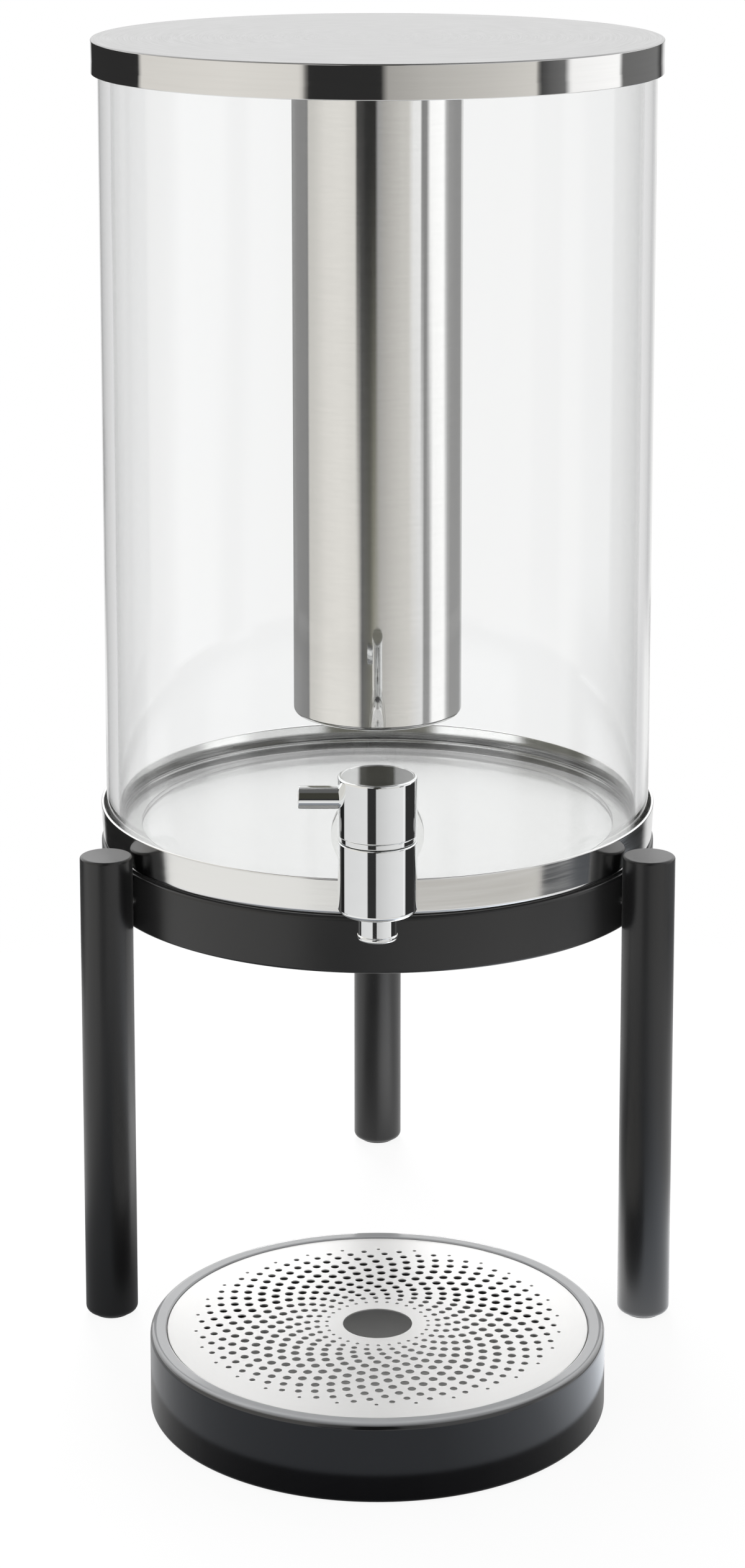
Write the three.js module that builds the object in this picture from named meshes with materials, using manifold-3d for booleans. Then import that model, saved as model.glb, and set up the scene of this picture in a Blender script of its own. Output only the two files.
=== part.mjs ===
// Glass juice dispenser: a glass cylinder with a chrome quarter-turn tap, a steel lid that carries an
// ice tube on a bayonet, a steel base dish on a black three-legged stand, and a round drip tray.
// Millimetres, +Z up, table at Z = 0. The tap and the tray are at the front, which faces -Y.
import * as THREE from 'three';
import { mergeVertices } from 'three/addons/utils/BufferGeometryUtils.js';
import Module from 'manifold-3d';

const wasm = await Module();
wasm.setup();

// Driving dimensions
const seatGap = 0.2; // between faces that rest on or against each other
const runningClearance = 0.1; // radial, where one piece turns inside another
const fastenerClearance = 0.25; // radial, round screws, pins and the shank
const cutOverrun = 1; // how far a cutting solid passes the face that it opens

const glass = { radius: 100, wall: 4.5, floor: 6, height: 288.5, footRounding: 3, innerRounding: 4 };
const lid = { sheet: 1.2, skirt: 12.2, glassClearance: 1.2, edgeRounding: 1 };
const lidSeal = { flange: 1.4, lipThickness: 2.8, lipDepth: 7, glassClearance: 0.4, rimInset: 0.5 };
const tube = { radius: 30.8, wall: 1, aboveFloor: 38.2, headroom: 1, footRounding: 1.6 };
const lug = { count: 3, width: 6, height: 2.4, proud: 2.2, below: 4, twistDegrees: 30 };
const collar = { wall: 4.4, height: 8, clearance: 0.4 };
const dish = { sheet: 1, height: 13.7, glassClearance: 1, cornerRounding: 2, draft: 0.5 };
const gasket = { width: 9, thickness: 1.2, inset: 1 };
const ring = { thickness: 4, height: 20, edgeRounding: 1 };
const leg = { count: 3, radius: 9.4, length: 171.7, proud: 8, topRounding: 0.9, footRounding: 2.3 };
const footPad = { radius: 6.8, thickness: 2.4, proud: 0.8 };
const legScrew = { radius: 2.5, bite: 9, headRadius: 4.6, headHeight: 2.6, headRounding: 1.6 };
const tap = { radius: 13.4, standOff: 27.2, below: 19, rimClearance: 0.2 };
const barrelRounding = { foot: 1.8, top: 0.7 };
const shank = { radius: 5.4, flangeRadius: 10.5, flangeThickness: 2, pastNut: 3 };
const outerWasher = { radius: 15.9, thickness: 2.5 };
const innerWasher = { radius: 13, thickness: 2.5 };
const nut = { sides: 6, acrossFlats: 22, height: 8, chamferHeight: 1, chamferWidth: 2 };
const port = { radius: 3.2 };
const plug = { radius: 8.4, stemRadius: 5.5, land: 0.5 };
const sealRing = { section: 0.75, groove: 1.8, grooveDepth: 1.8 };
const gland = { height: 1.9, recess: 1.2 };
const head = { height: 20.2, topRounding: 0.9, crown: 3.7 };
const lever = { radius: 3.9, reach: 26.6, height: 12.6, tipRounding: 1.2, tenonRadius: 2.4, tenonPast: 1.5 };
const nozzle = { radius: 6.6, length: 9.3, tenonRadius: 5, tenonLength: 4.6, mouthRadius: 5, mouthDepth: 4 };
const bead = { proud: 0.35, height: 1.4, rounding: 0.35 }; // round the foot of the nozzle
const tray = { radius: 78.1, height: 27.4, wall: 3, floor: 4, rimRounding: 3, footRounding: 1.4 };
const ledge = { width: 3, thickness: 1.5 };
const plate = { radius: 72.3, sheet: 1.2, flange: 2.6, below: 0.4, edgeGap: 0.4, fingerRadius: 11.9 };
const field = { innerRadius: 20, outerRadius: 62, smallHole: 0.95, largeHole: 2.05 };
const trayPad = { radius: 5, thickness: 1.4, proud: 0.6, inset: 14 };

// Counts and shares
const facets = { large: 36, tube: 24, fit: 24, washer: 20, leg: 16, small: 12, ringSection: 6, hole: 5 };
const roundingSteps = 2;
const pattern = { arms: 30, rings: 7, twistSteps: 3 };
const trayPadCount = 3;
const lipShare = 1 / 3; // of the glass wall, rounded off at each side of the mouth
const flatShare = Math.cos(Math.PI / facets.large); // of a large radius, reached by the middle of a facet
const quarterTurn = 90; // degrees

const palette = {
  steel: { color: 0xcfd0cf, roughness: 0.22, metalness: 1 },
  satinSteel: { color: 0xd6d7d8, roughness: 0.42, metalness: 1 },
  chrome: { color: 0xe2e3e4, roughness: 0.08, metalness: 1 },
  glass: { color: 0xdfe7e6, roughness: 0.04, metalness: 0, transparent: true, opacity: 0.35 },
  black: { color: 0x2b2b2c, roughness: 0.5, metalness: 0 },
  smoky: { color: 0x1d1f21, roughness: 0.3, metalness: 0 },
  rubber: { color: 0x242424, roughness: 0.85, metalness: 0 },
  silicone: { color: 0xdad8d2, roughness: 0.5, metalness: 0 },
};

// Heights, stacked from the table up
const legTop = footPad.proud + leg.length;
const ringTop = legTop - leg.proud;
const dishBottom = ringTop + seatGap;
const dishTop = dishBottom + dish.height;
const gasketBottom = dishBottom + dish.sheet + seatGap;
const glassBottom = gasketBottom + gasket.thickness + seatGap;
const glassTop = glassBottom + glass.height;
const lidUnderside = glassTop + seatGap + lidSeal.flange + seatGap;
const lidTop = lidUnderside + lid.sheet;
const tubeTop = lidUnderside - tube.headroom;
const tubeBottom = glassBottom + glass.floor + tube.aboveFloor;
const shankHeight = dishTop + tap.rimClearance + outerWasher.radius;

// Places across the table, from the axis of the glass
const glassBore = glass.radius - glass.wall;
const dishRadius = glass.radius + dish.glassClearance + dish.sheet;
const legCircle = dishRadius + seatGap + leg.radius;
const tapAxis = glass.radius + tap.standOff;
const frontEdge = tapAxis + tray.radius;
const backEdge = legCircle + leg.radius;

// An outline from corners [radius, height, rounding], with each rounded corner drawn as an arc
function outline(corners) {
  const points = [];
  corners.forEach(([x, y, rounding = 0], index) => {
    const corner = new THREE.Vector2(x, y);
    if (rounding === 0) {
      points.push(corner);
      return;
    }
    const [beforeX, beforeY] = corners[(index + corners.length - 1) % corners.length];
    const [afterX, afterY] = corners[(index + 1) % corners.length];
    const back = new THREE.Vector2(beforeX, beforeY).sub(corner).normalize();
    const ahead = new THREE.Vector2(afterX, afterY).sub(corner).normalize();
    const halfAngle = back.angleTo(ahead) / 2;
    const inward = back.clone().add(ahead).normalize();
    const centre = corner.clone().addScaledVector(inward, rounding / Math.sin(halfAngle));
    const reach = rounding / Math.tan(halfAngle);
    const start = corner.clone().addScaledVector(back, reach).sub(centre);
    const end = corner.clone().addScaledVector(ahead, reach).sub(centre);
    const turn = Math.atan2(start.cross(end), start.dot(end));
    const origin = new THREE.Vector2();
    for (let step = 0; step <= roundingSteps; step++) {
      const spoke = start.clone().rotateAround(origin, (turn * step) / roundingSteps);
      points.push(spoke.add(centre));
    }
  });
  return points;
}

// A closed solid from a geometry whose shared corners are merged
function solidFrom(geometry) {
  geometry.deleteAttribute('normal');
  geometry.deleteAttribute('uv');
  const merged = mergeVertices(geometry);
  const corners = merged.index.array;
  const triangles = [];
  for (let i = 0; i < corners.length; i += 3) {
    const [a, b, c] = corners.slice(i, i + 3);
    if (a !== b && b !== c && c !== a) triangles.push(a, b, c);
  }
  const vertProperties = Float32Array.from(merged.attributes.position.array);
  const triVerts = Uint32Array.from(triangles);
  return new wasm.Manifold(new wasm.Mesh({ numProp: 3, vertProperties, triVerts }));
}

// A solid of revolution about Z; an outline that is clear of the axis closes on itself
function revolve(corners, sides) {
  const points = outline(corners);
  if (points[0].x > 0) points.push(points[0].clone());
  const geometry = new THREE.LatheGeometry(points, sides);
  geometry.rotateX(Math.PI / 2);
  return solidFrom(geometry);
}

function cylinder(radius, bottom, top, sides) {
  return revolve([[0, bottom], [radius, bottom], [radius, top], [0, top]], sides);
}

// The same solids laid along Y, their height measured towards +Y
function revolveAlongY(corners, sides) {
  return revolve(corners, sides).rotate([-quarterTurn, 0, 0]);
}

function cylinderAlongY(radius, from, to, sides) {
  return cylinder(radius, from, to, sides).rotate([-quarterTurn, 0, 0]);
}

// A slice of a ring between two angles, standing from one height to another
function ringSlice(innerRadius, outerRadius, fromAngle, toAngle, bottom, top) {
  const shape = new THREE.Shape();
  shape.absarc(0, 0, outerRadius, fromAngle, toAngle, false);
  shape.absarc(0, 0, innerRadius, toAngle, fromAngle, true);
  const curveSegments = Math.ceil(((toAngle - fromAngle) / Math.PI / 2) * facets.large);
  const settings = { depth: top - bottom, bevelEnabled: false, curveSegments };
  const geometry = new THREE.ExtrudeGeometry(shape, settings);
  geometry.translate(0, 0, bottom);
  return solidFrom(geometry);
}

function piece(group, name, solid, finish) {
  const { vertProperties, triVerts } = solid.getMesh();
  const geometry = new THREE.BufferGeometry();
  geometry.setAttribute('position', new THREE.BufferAttribute(vertProperties, 3));
  geometry.setIndex(new THREE.BufferAttribute(triVerts, 1));
  geometry.computeVertexNormals();
  const mesh = new THREE.Mesh(geometry, new THREE.MeshStandardMaterial(finish));
  mesh.name = name;
  group.add(mesh);
  return mesh;
}

// The direction of a leg or pad, counted from the back of the dispenser
function spokeAngle(index, count) {
  return Math.PI / 2 + (index * 2 * Math.PI) / count;
}

// Stand: a flat ring between three round legs, each held by a screw from inside the ring
function buildStand() {
  const stand = new THREE.Group();
  const ringBottom = ringTop - ring.height;
  const ringBore = dishRadius - ring.thickness;
  const screwHeight = (ringTop + ringBottom) / 2;
  const screwHole = legScrew.radius + fastenerClearance;
  const boreEnd = dishRadius + seatGap + legScrew.bite + fastenerClearance;
  const hole = cylinderAlongY(screwHole, ringBore - cutOverrun, boreEnd, facets.small);
  let band = revolve([
    [ringBore, ringBottom],
    [dishRadius, ringBottom, ring.edgeRounding],
    [dishRadius, ringTop, ring.edgeRounding],
    [ringBore, ringTop],
  ], facets.large);
  const padTop = footPad.thickness + seatGap;
  const padHole = footPad.radius + fastenerClearance;
  const bar = revolve([
    [0, padTop],
    [padHole, padTop],
    [padHole, footPad.proud],
    [leg.radius, footPad.proud, leg.footRounding],
    [leg.radius, legTop, leg.topRounding],
    [0, legTop],
  ], facets.leg);
  const headFace = ringBore * flatShare - seatGap;
  const screw = revolveAlongY([
    [0, headFace - legScrew.headHeight],
    [legScrew.headRadius, headFace - legScrew.headHeight, legScrew.headRounding],
    [legScrew.headRadius, headFace],
    [legScrew.radius, headFace],
    [legScrew.radius, boreEnd - fastenerClearance],
    [0, boreEnd - fastenerClearance],
  ], facets.small);
  const pad = cylinder(footPad.radius, 0, footPad.thickness, facets.small);
  for (let index = 0; index < leg.count; index++) {
    const angle = spokeAngle(index, leg.count);
    const turn = THREE.MathUtils.radToDeg(angle) - quarterTurn;
    const place = [Math.cos(angle) * legCircle, Math.sin(angle) * legCircle, 0];
    const turnedHole = hole.translate([0, 0, screwHeight]).rotate([0, 0, turn]);
    band = band.subtract(turnedHole);
    piece(stand, `leg_${index + 1}`, bar.translate(place).subtract(turnedHole), palette.black);
    const mesh = piece(stand, `leg_screw_${index + 1}`, screw, palette.steel);
    mesh.position.z = screwHeight;
    mesh.rotation.z = THREE.MathUtils.degToRad(turn);
    piece(stand, `foot_pad_${index + 1}`, pad, palette.rubber).position.fromArray(place);
  }
  piece(stand, 'stand_ring', band, palette.black);
  return stand;
}

// Base: a pressed steel dish that lies on the ring, between the leg tops, with a clear gasket in it
function buildBase() {
  const base = new THREE.Group();
  const bore = dishRadius - dish.sheet;
  const floorTop = dishBottom + dish.sheet;
  const gasketRadius = glass.radius - glass.footRounding - gasket.inset;
  piece(base, 'base_dish', revolve([
    [0, dishBottom],
    [dishRadius - dish.draft, dishBottom, dish.cornerRounding],
    [dishRadius, dishTop],
    [bore, dishTop],
    [bore - dish.draft, floorTop, dish.cornerRounding - dish.sheet],
    [0, floorTop],
  ], facets.large), palette.steel);
  piece(base, 'base_gasket', revolve([
    [gasketRadius - gasket.width, gasketBottom],
    [gasketRadius, gasketBottom],
    [gasketRadius, gasketBottom + gasket.thickness],
    [gasketRadius - gasket.width, gasketBottom + gasket.thickness],
  ], facets.large), palette.silicone);
  return base;
}

// Container: the glass, and on it the tap body with its washers, nut, nozzle and gland ring
function buildContainer() {
  const container = new THREE.Group();
  const lip = glass.wall * lipShare;
  const wallHole = cylinderAlongY(
    shank.radius + fastenerClearance,
    -glass.radius - cutOverrun,
    cutOverrun - glassBore,
    facets.washer,
  );
  const jar = revolve([
    [0, glassBottom],
    [glass.radius, glassBottom, glass.footRounding],
    [glass.radius, glassTop, lip],
    [glassBore, glassTop, lip],
    [glassBore, glassBottom + glass.floor, glass.innerRounding],
    [0, glassBottom + glass.floor],
  ], facets.large);
  piece(container, 'glass_container', jar.subtract(wallHole.translate([0, 0, shankHeight])), palette.glass);
  const fittings = new THREE.Group();
  fittings.position.z = shankHeight;
  container.add(fittings);
  addTapFixings(fittings);
  const tapColumn = new THREE.Group();
  tapColumn.position.set(0, -tapAxis, shankHeight);
  container.add(tapColumn);
  addTapColumn(tapColumn);
  return container;
}

// What clamps the tap to the glass; Y runs along the shank and the shank's axis is at Z = 0
function addTapFixings(group) {
  const bore = shank.radius + fastenerClearance;
  const tallCut = (radius) => cylinder(radius, -tap.standOff, tap.standOff, facets.large);
  const outerFace = -glass.radius - outerWasher.thickness;
  const innerFace = innerWasher.thickness - glassBore;
  const outerDisc = revolveAlongY([
    [bore, outerFace],
    [outerWasher.radius, outerFace, outerWasher.thickness * lipShare],
    [outerWasher.radius, -glass.radius + outerWasher.thickness],
    [bore, -glass.radius + outerWasher.thickness],
  ], facets.washer);
  piece(group, 'outer_washer', outerDisc.subtract(tallCut(glass.radius + seatGap)), palette.silicone);
  const innerDisc = revolveAlongY([
    [bore, -glass.radius],
    [innerWasher.radius, -glass.radius],
    [innerWasher.radius, innerFace],
    [bore, innerFace],
  ], facets.washer);
  piece(group, 'inner_washer', innerDisc.intersect(tallCut(glassBore - seatGap)), palette.silicone);
  const nutFace = innerFace + seatGap;
  const nutTop = nutFace + nut.height;
  const cornerRadius = nut.acrossFlats / 2 / Math.cos(Math.PI / nut.sides);
  const block = cylinderAlongY(cornerRadius, nutFace, nutTop, nut.sides);
  const round = revolveAlongY([
    [0, nutFace],
    [cornerRadius, nutFace],
    [cornerRadius, nutTop - nut.chamferHeight],
    [cornerRadius - nut.chamferWidth, nutTop],
    [0, nutTop],
  ], facets.washer);
  const nutBore = cylinderAlongY(bore, nutFace - cutOverrun, nutTop + cutOverrun, facets.washer);
  piece(group, 'shank_nut', block.intersect(round).subtract(nutBore), palette.steel);
}

// The valve chamber reaches as far above and below the shank's axis as port, lands and seal ring need
const portStack = port.radius + plug.land + sealRing.groove + plug.land;
const chamberTop = Math.max(portStack, shank.radius + plug.land);
const chamberFloor = -chamberTop - seatGap;
const headBottom = chamberTop + seatGap + gland.height + seatGap;

// The still half of the tap; its turning axis is Z and the shank's axis is at Z = 0
function addTapColumn(group) {
  const chamberRadius = plug.radius + runningClearance;
  const washerFace = tapAxis - glass.radius - outerWasher.thickness - seatGap;
  const nutFace = tapAxis - glassBore + innerWasher.thickness + seatGap;
  const shankEnd = nutFace + nut.height + shank.pastNut;
  const socketTop = nozzle.tenonLength + seatGap - tap.below;
  const barrel = revolve([
    [0, -tap.below],
    [tap.radius, -tap.below, barrelRounding.foot],
    [tap.radius, chamberTop, barrelRounding.top],
    [0, chamberTop],
  ], facets.fit);
  const stalk = revolveAlongY([
    [0, 0],
    [shank.radius, 0],
    [shank.radius, washerFace - shank.flangeThickness],
    [shank.flangeRadius, washerFace - shank.flangeThickness],
    [shank.flangeRadius, washerFace],
    [shank.radius, washerFace],
    [shank.radius, shankEnd],
    [0, shankEnd],
  ], facets.washer);
  const chamber = cylinder(chamberRadius, chamberFloor, chamberTop + cutOverrun, facets.fit);
  const drop = cylinder(port.radius, -tap.below - cutOverrun, chamberFloor + cutOverrun, facets.small);
  const inlet = cylinderAlongY(port.radius, 0, shankEnd + cutOverrun, facets.small);
  const socketRadius = nozzle.tenonRadius + fastenerClearance;
  const socket = cylinder(socketRadius, -tap.below - cutOverrun, socketTop, facets.washer);
  const body = barrel.add(stalk).subtract(chamber).subtract(drop).subtract(inlet).subtract(socket);
  piece(group, 'tap_body', body, palette.chrome);
  const nozzleTop = -tap.below - seatGap;
  const nozzleBottom = -tap.below - nozzle.length;
  const beadRadius = nozzle.radius + bead.proud;
  piece(group, 'outlet_nozzle', revolve([
    [port.radius, nozzleTop + nozzle.tenonLength],
    [port.radius, nozzleBottom + nozzle.mouthDepth],
    [nozzle.mouthRadius, nozzleBottom],
    [beadRadius, nozzleBottom, bead.rounding],
    [beadRadius, nozzleBottom + bead.height, bead.rounding],
    [nozzle.radius, nozzleBottom + bead.height],
    [nozzle.radius, nozzleTop],
    [nozzle.tenonRadius, nozzleTop],
    [nozzle.tenonRadius, nozzleTop + nozzle.tenonLength],
  ], facets.washer), palette.chrome);
  const glandBore = plug.stemRadius + runningClearance;
  const glandRadius = tap.radius - gland.recess;
  const glandBottom = chamberTop + seatGap;
  piece(group, 'gland_ring', revolve([
    [glandBore, glandBottom],
    [glandRadius, glandBottom],
    [glandRadius, glandBottom + gland.height],
    [glandBore, glandBottom + gland.height],
  ], facets.fit), palette.chrome);
}

// The turning half of the tap: plug with its two seal rings, head, and the lever that pins them
function buildTapHandle() {
  const handle = new THREE.Group();
  handle.position.set(0, -tapAxis, shankHeight);
  const grooveRadius = plug.radius - sealRing.grooveDepth;
  const grooveMiddle = port.radius + plug.land + sealRing.groove / 2;
  const stemTop = headBottom + head.height - head.crown;
  const leverHeight = headBottom + lever.height;
  const groove = (middle) => revolve([
    [grooveRadius, middle - sealRing.groove / 2],
    [plug.radius + cutOverrun, middle - sealRing.groove / 2],
    [plug.radius + cutOverrun, middle + sealRing.groove / 2],
    [grooveRadius, middle + sealRing.groove / 2],
  ], facets.fit);
  const alongX = (radius, from, to, sides) => cylinder(radius, from, to, sides).rotate([0, quarterTurn, 0]);
  const tenonHole = lever.tenonRadius + fastenerClearance;
  const crossHole = alongX(tenonHole, -plug.radius, lever.tenonPast + fastenerClearance, facets.small);
  const sidePort = alongX(port.radius, 0, plug.radius + cutOverrun, facets.small);
  const downPort = cylinder(port.radius, -chamberTop - cutOverrun, 0, facets.small);
  const spindle = cylinder(plug.radius, -chamberTop, chamberTop, facets.fit)
    .add(cylinder(plug.stemRadius, 0, stemTop, facets.fit))
    .subtract(groove(grooveMiddle))
    .subtract(groove(-grooveMiddle))
    .subtract(sidePort)
    .subtract(downPort)
    .subtract(crossHole.translate([0, 0, leverHeight]));
  piece(handle, 'valve_plug', spindle, palette.steel);
  const ringRadius = plug.radius - sealRing.section;
  for (const [name, middle] of [['upper_seal_ring', grooveMiddle], ['lower_seal_ring', -grooveMiddle]]) {
    const torus = new THREE.TorusGeometry(ringRadius, sealRing.section, facets.ringSection, facets.small);
    piece(handle, name, solidFrom(torus), palette.rubber).position.z = middle;
  }
  const stemHole = plug.stemRadius + fastenerClearance;
  const knob = revolve([
    [0, stemTop + seatGap],
    [stemHole, stemTop + seatGap],
    [stemHole, headBottom],
    [tap.radius, headBottom],
    [tap.radius, headBottom + head.height, head.topRounding],
    [0, headBottom + head.height],
  ], facets.fit);
  const leverHole = alongX(lever.radius + fastenerClearance, -tap.radius - cutOverrun, 0, facets.leg);
  piece(handle, 'tap_head', knob.subtract(leverHole.translate([0, 0, leverHeight])), palette.chrome);
  const shoulder = plug.stemRadius + fastenerClearance;
  const rod = revolve([
    [0, -lever.tenonPast],
    [lever.tenonRadius, -lever.tenonPast],
    [lever.tenonRadius, shoulder],
    [lever.radius, shoulder],
    [lever.radius, lever.reach, lever.tipRounding],
    [0, lever.reach],
  ], facets.leg);
  piece(handle, 'lever_pin', rod.rotate([0, -quarterTurn, 0]), palette.chrome).position.z = leverHeight;
  return handle;
}

// Lid: a shallow steel pan with a turned-down skirt, a seal and the collar that holds the ice tube
function buildLid() {
  const cover = new THREE.Group();
  const skirtBore = glass.radius + lid.glassClearance;
  const lidRadius = skirtBore + lid.sheet;
  const skirtBottom = lidTop - lid.skirt;
  piece(cover, 'lid_pan', revolve([
    [0, lidUnderside],
    [skirtBore, lidUnderside],
    [skirtBore, skirtBottom],
    [lidRadius, skirtBottom],
    [lidRadius, lidTop, lid.edgeRounding],
    [0, lidTop],
  ], facets.large), palette.satinSteel);
  const lipRadius = glassBore - lidSeal.glassClearance;
  const lipBore = lipRadius - lidSeal.lipThickness;
  const flangeBottom = glassTop + seatGap;
  piece(cover, 'lid_seal', revolve([
    [lipBore, flangeBottom - lidSeal.lipDepth],
    [lipRadius, flangeBottom - lidSeal.lipDepth],
    [lipRadius, flangeBottom],
    [glass.radius - lidSeal.rimInset, flangeBottom],
    [glass.radius - lidSeal.rimInset, flangeBottom + lidSeal.flange],
    [lipBore, flangeBottom + lidSeal.flange],
  ], facets.large), palette.silicone);
  piece(cover, 'tube_collar', buildCollar(), palette.steel);
  return cover;
}

// Collar: a ring with an L-shaped slot for each lug, open below at the end of the twist
function buildCollar() {
  const bore = tube.radius + collar.clearance;
  const top = lidUnderside - seatGap;
  const bottom = top - collar.height;
  const lugMiddle = tubeTop - lug.below;
  const slotRadius = tube.radius + lug.proud + collar.clearance;
  const halfWidth = Math.asin((lug.width / 2 + collar.clearance) / tube.radius);
  const halfHeight = lug.height / 2 + collar.clearance;
  const twist = THREE.MathUtils.degToRad(lug.twistDegrees);
  let band = revolve([
    [bore, bottom],
    [tube.radius + collar.wall, bottom],
    [tube.radius + collar.wall, top],
    [bore, top],
  ], facets.tube);
  for (let index = 0; index < lug.count; index++) {
    const angle = spokeAngle(index, lug.count);
    const inside = bore - cutOverrun;
    const end = angle + twist + halfWidth;
    const floor = lugMiddle - halfHeight;
    const roof = lugMiddle + halfHeight;
    const track = ringSlice(inside, slotRadius, angle - halfWidth, end, floor, roof);
    const entry = ringSlice(inside, slotRadius, end - 2 * halfWidth, end, bottom - cutOverrun, lugMiddle);
    band = band.subtract(track).subtract(entry);
  }
  return band;
}

// Ice tube: a closed steel tube that hangs in the collar by three lugs
function buildIceTube() {
  const hanger = new THREE.Group();
  const bottom = tubeBottom;
  const bore = tube.radius - tube.wall;
  let shell = revolve([
    [0, bottom],
    [tube.radius, bottom, tube.footRounding],
    [tube.radius, tubeTop],
    [bore, tubeTop],
    [bore, bottom + tube.wall],
    [0, bottom + tube.wall],
  ], facets.tube);
  const lugLength = lug.proud + tube.wall / 2;
  for (let index = 0; index < lug.count; index++) {
    const block = new THREE.BoxGeometry(lugLength, lug.width, lug.height);
    block.translate(tube.radius + lug.proud - lugLength / 2, 0, tubeTop - lug.below);
    block.rotateZ(spokeAngle(index, lug.count));
    shell = shell.add(solidFrom(block));
  }
  piece(hanger, 'ice_tube', shell, palette.steel);
  return hanger;
}

// Drip tray: a moulded pan on three pads, with a ledge inside its rim for the plate
function buildTray() {
  const group = new THREE.Group();
  group.position.y = -tapAxis;
  const bottom = trayPad.proud;
  const rimTop = bottom + tray.height;
  const recess = plate.radius + plate.edgeGap;
  const ledgeTop = rimTop - plate.below - plate.flange - seatGap;
  const ledgeBore = recess - ledge.width;
  const bore = tray.radius - tray.wall;
  let pan = revolve([
    [0, bottom],
    [tray.radius, bottom, tray.footRounding],
    [tray.radius, rimTop, tray.rimRounding],
    [recess, rimTop],
    [recess, ledgeTop],
    [ledgeBore, ledgeTop],
    [ledgeBore, ledgeTop - ledge.thickness],
    [bore, ledgeTop - ledge.thickness - (bore - ledgeBore)],
    [bore, bottom + tray.floor],
    [0, bottom + tray.floor],
  ], facets.large);
  const padHole = cylinder(
    trayPad.radius + fastenerClearance,
    bottom - cutOverrun,
    trayPad.thickness + seatGap,
    facets.small,
  );
  const pad = cylinder(trayPad.radius, 0, trayPad.thickness, facets.small);
  for (let index = 0; index < trayPadCount; index++) {
    const angle = spokeAngle(index, trayPadCount);
    const reach = tray.radius - trayPad.inset;
    const place = [Math.cos(angle) * reach, Math.sin(angle) * reach, 0];
    pan = pan.subtract(padHole.translate(place));
    piece(group, `tray_pad_${index + 1}`, pad, palette.rubber).position.fromArray(place);
  }
  piece(group, 'drip_tray', pan, palette.smoky);
  return group;
}

// Drip plate: a steel disc with a turned-down edge, a finger hole and a field of small holes
function buildPlate() {
  const group = new THREE.Group();
  group.position.y = -tapAxis;
  const top = trayPad.proud + tray.height - plate.below;
  const underside = top - plate.sheet;
  const edgeBore = plate.radius - plate.sheet;
  const disc = revolve([
    [plate.fingerRadius, underside],
    [edgeBore, underside],
    [edgeBore, top - plate.flange],
    [plate.radius, top - plate.flange],
    [plate.radius, top],
    [plate.fingerRadius, top],
  ], facets.large);
  const settings = { depth: plate.sheet + 2 * cutOverrun, bevelEnabled: false };
  const punches = new THREE.ExtrudeGeometry(holeShapes(), settings);
  punches.translate(0, 0, underside - cutOverrun);
  piece(group, 'drip_plate', disc.subtract(solidFrom(punches)), palette.satinSteel);
  return group;
}

// The holes stand in rings, one on each arm. Each ring is turned on from the last by a step that
// grows to half a spacing, so the arms leave the middle as spirals and end as a staggered field.
function holeShapes() {
  const shapes = [];
  const halfSpacing = Math.PI / pattern.arms;
  let offset = 0;
  for (let ringIndex = 0; ringIndex < pattern.rings; ringIndex++) {
    const along = ringIndex / (pattern.rings - 1);
    const ringRadius = THREE.MathUtils.lerp(field.innerRadius, field.outerRadius, along);
    const holeRadius = THREE.MathUtils.lerp(field.smallHole, field.largeHole, Math.sin(Math.PI * along));
    offset += halfSpacing * Math.min(1, ringIndex / pattern.twistSteps);
    for (let arm = 0; arm < pattern.arms; arm++) {
      const angle = offset + 2 * halfSpacing * arm;
      const centre = new THREE.Vector2(ringRadius, 0).rotateAround(new THREE.Vector2(), angle);
      const rim = [];
      for (let corner = 0; corner < facets.hole; corner++) {
        const turn = angle + (corner * 2 * Math.PI) / facets.hole;
        rim.push(new THREE.Vector2(Math.cos(turn), Math.sin(turn)).multiplyScalar(holeRadius).add(centre));
      }
      shapes.push(new THREE.Shape(rim));
    }
  }
  return shapes;
}

// The dispenser stands with the middle of its footprint on the origin
const dispenser = new THREE.Group();
dispenser.position.y = (frontEdge - backEdge) / 2;
dispenser.add(buildStand(), buildBase(), buildContainer(), buildTapHandle());
dispenser.add(buildLid(), buildIceTube(), buildTray(), buildPlate());

export default dispenser;
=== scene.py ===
# Glass juice dispenser: the finished surfaces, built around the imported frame.
# Metres, +Z up, front at -Y.
import math

import bmesh
import bpy
from mathutils import Matrix, Vector


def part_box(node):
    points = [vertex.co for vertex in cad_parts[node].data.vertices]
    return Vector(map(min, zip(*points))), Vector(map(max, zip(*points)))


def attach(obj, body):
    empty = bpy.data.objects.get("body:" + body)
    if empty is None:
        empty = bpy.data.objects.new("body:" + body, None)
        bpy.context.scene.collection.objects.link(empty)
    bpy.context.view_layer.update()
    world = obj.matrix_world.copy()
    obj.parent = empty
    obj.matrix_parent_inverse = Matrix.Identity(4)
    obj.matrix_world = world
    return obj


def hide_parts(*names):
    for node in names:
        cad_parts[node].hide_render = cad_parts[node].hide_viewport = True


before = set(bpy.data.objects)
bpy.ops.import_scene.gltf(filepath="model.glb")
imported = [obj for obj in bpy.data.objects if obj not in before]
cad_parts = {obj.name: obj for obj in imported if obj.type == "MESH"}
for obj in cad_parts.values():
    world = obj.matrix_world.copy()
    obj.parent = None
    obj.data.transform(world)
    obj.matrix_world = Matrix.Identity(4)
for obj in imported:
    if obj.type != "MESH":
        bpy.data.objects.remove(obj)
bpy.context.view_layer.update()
scene = bpy.context.scene
scene.view_settings.view_transform = "Standard"
mm = 0.001
print("frame loaded")


# Places and sizes taken from the frame
def middleOf(node):
    low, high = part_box(node)
    return (low + high) / 2


def radiusOf(node):
    low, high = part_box(node)
    return (high.x - low.x) / 2


def heightsOf(node):
    low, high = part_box(node)
    return low.z, high.z


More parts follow.
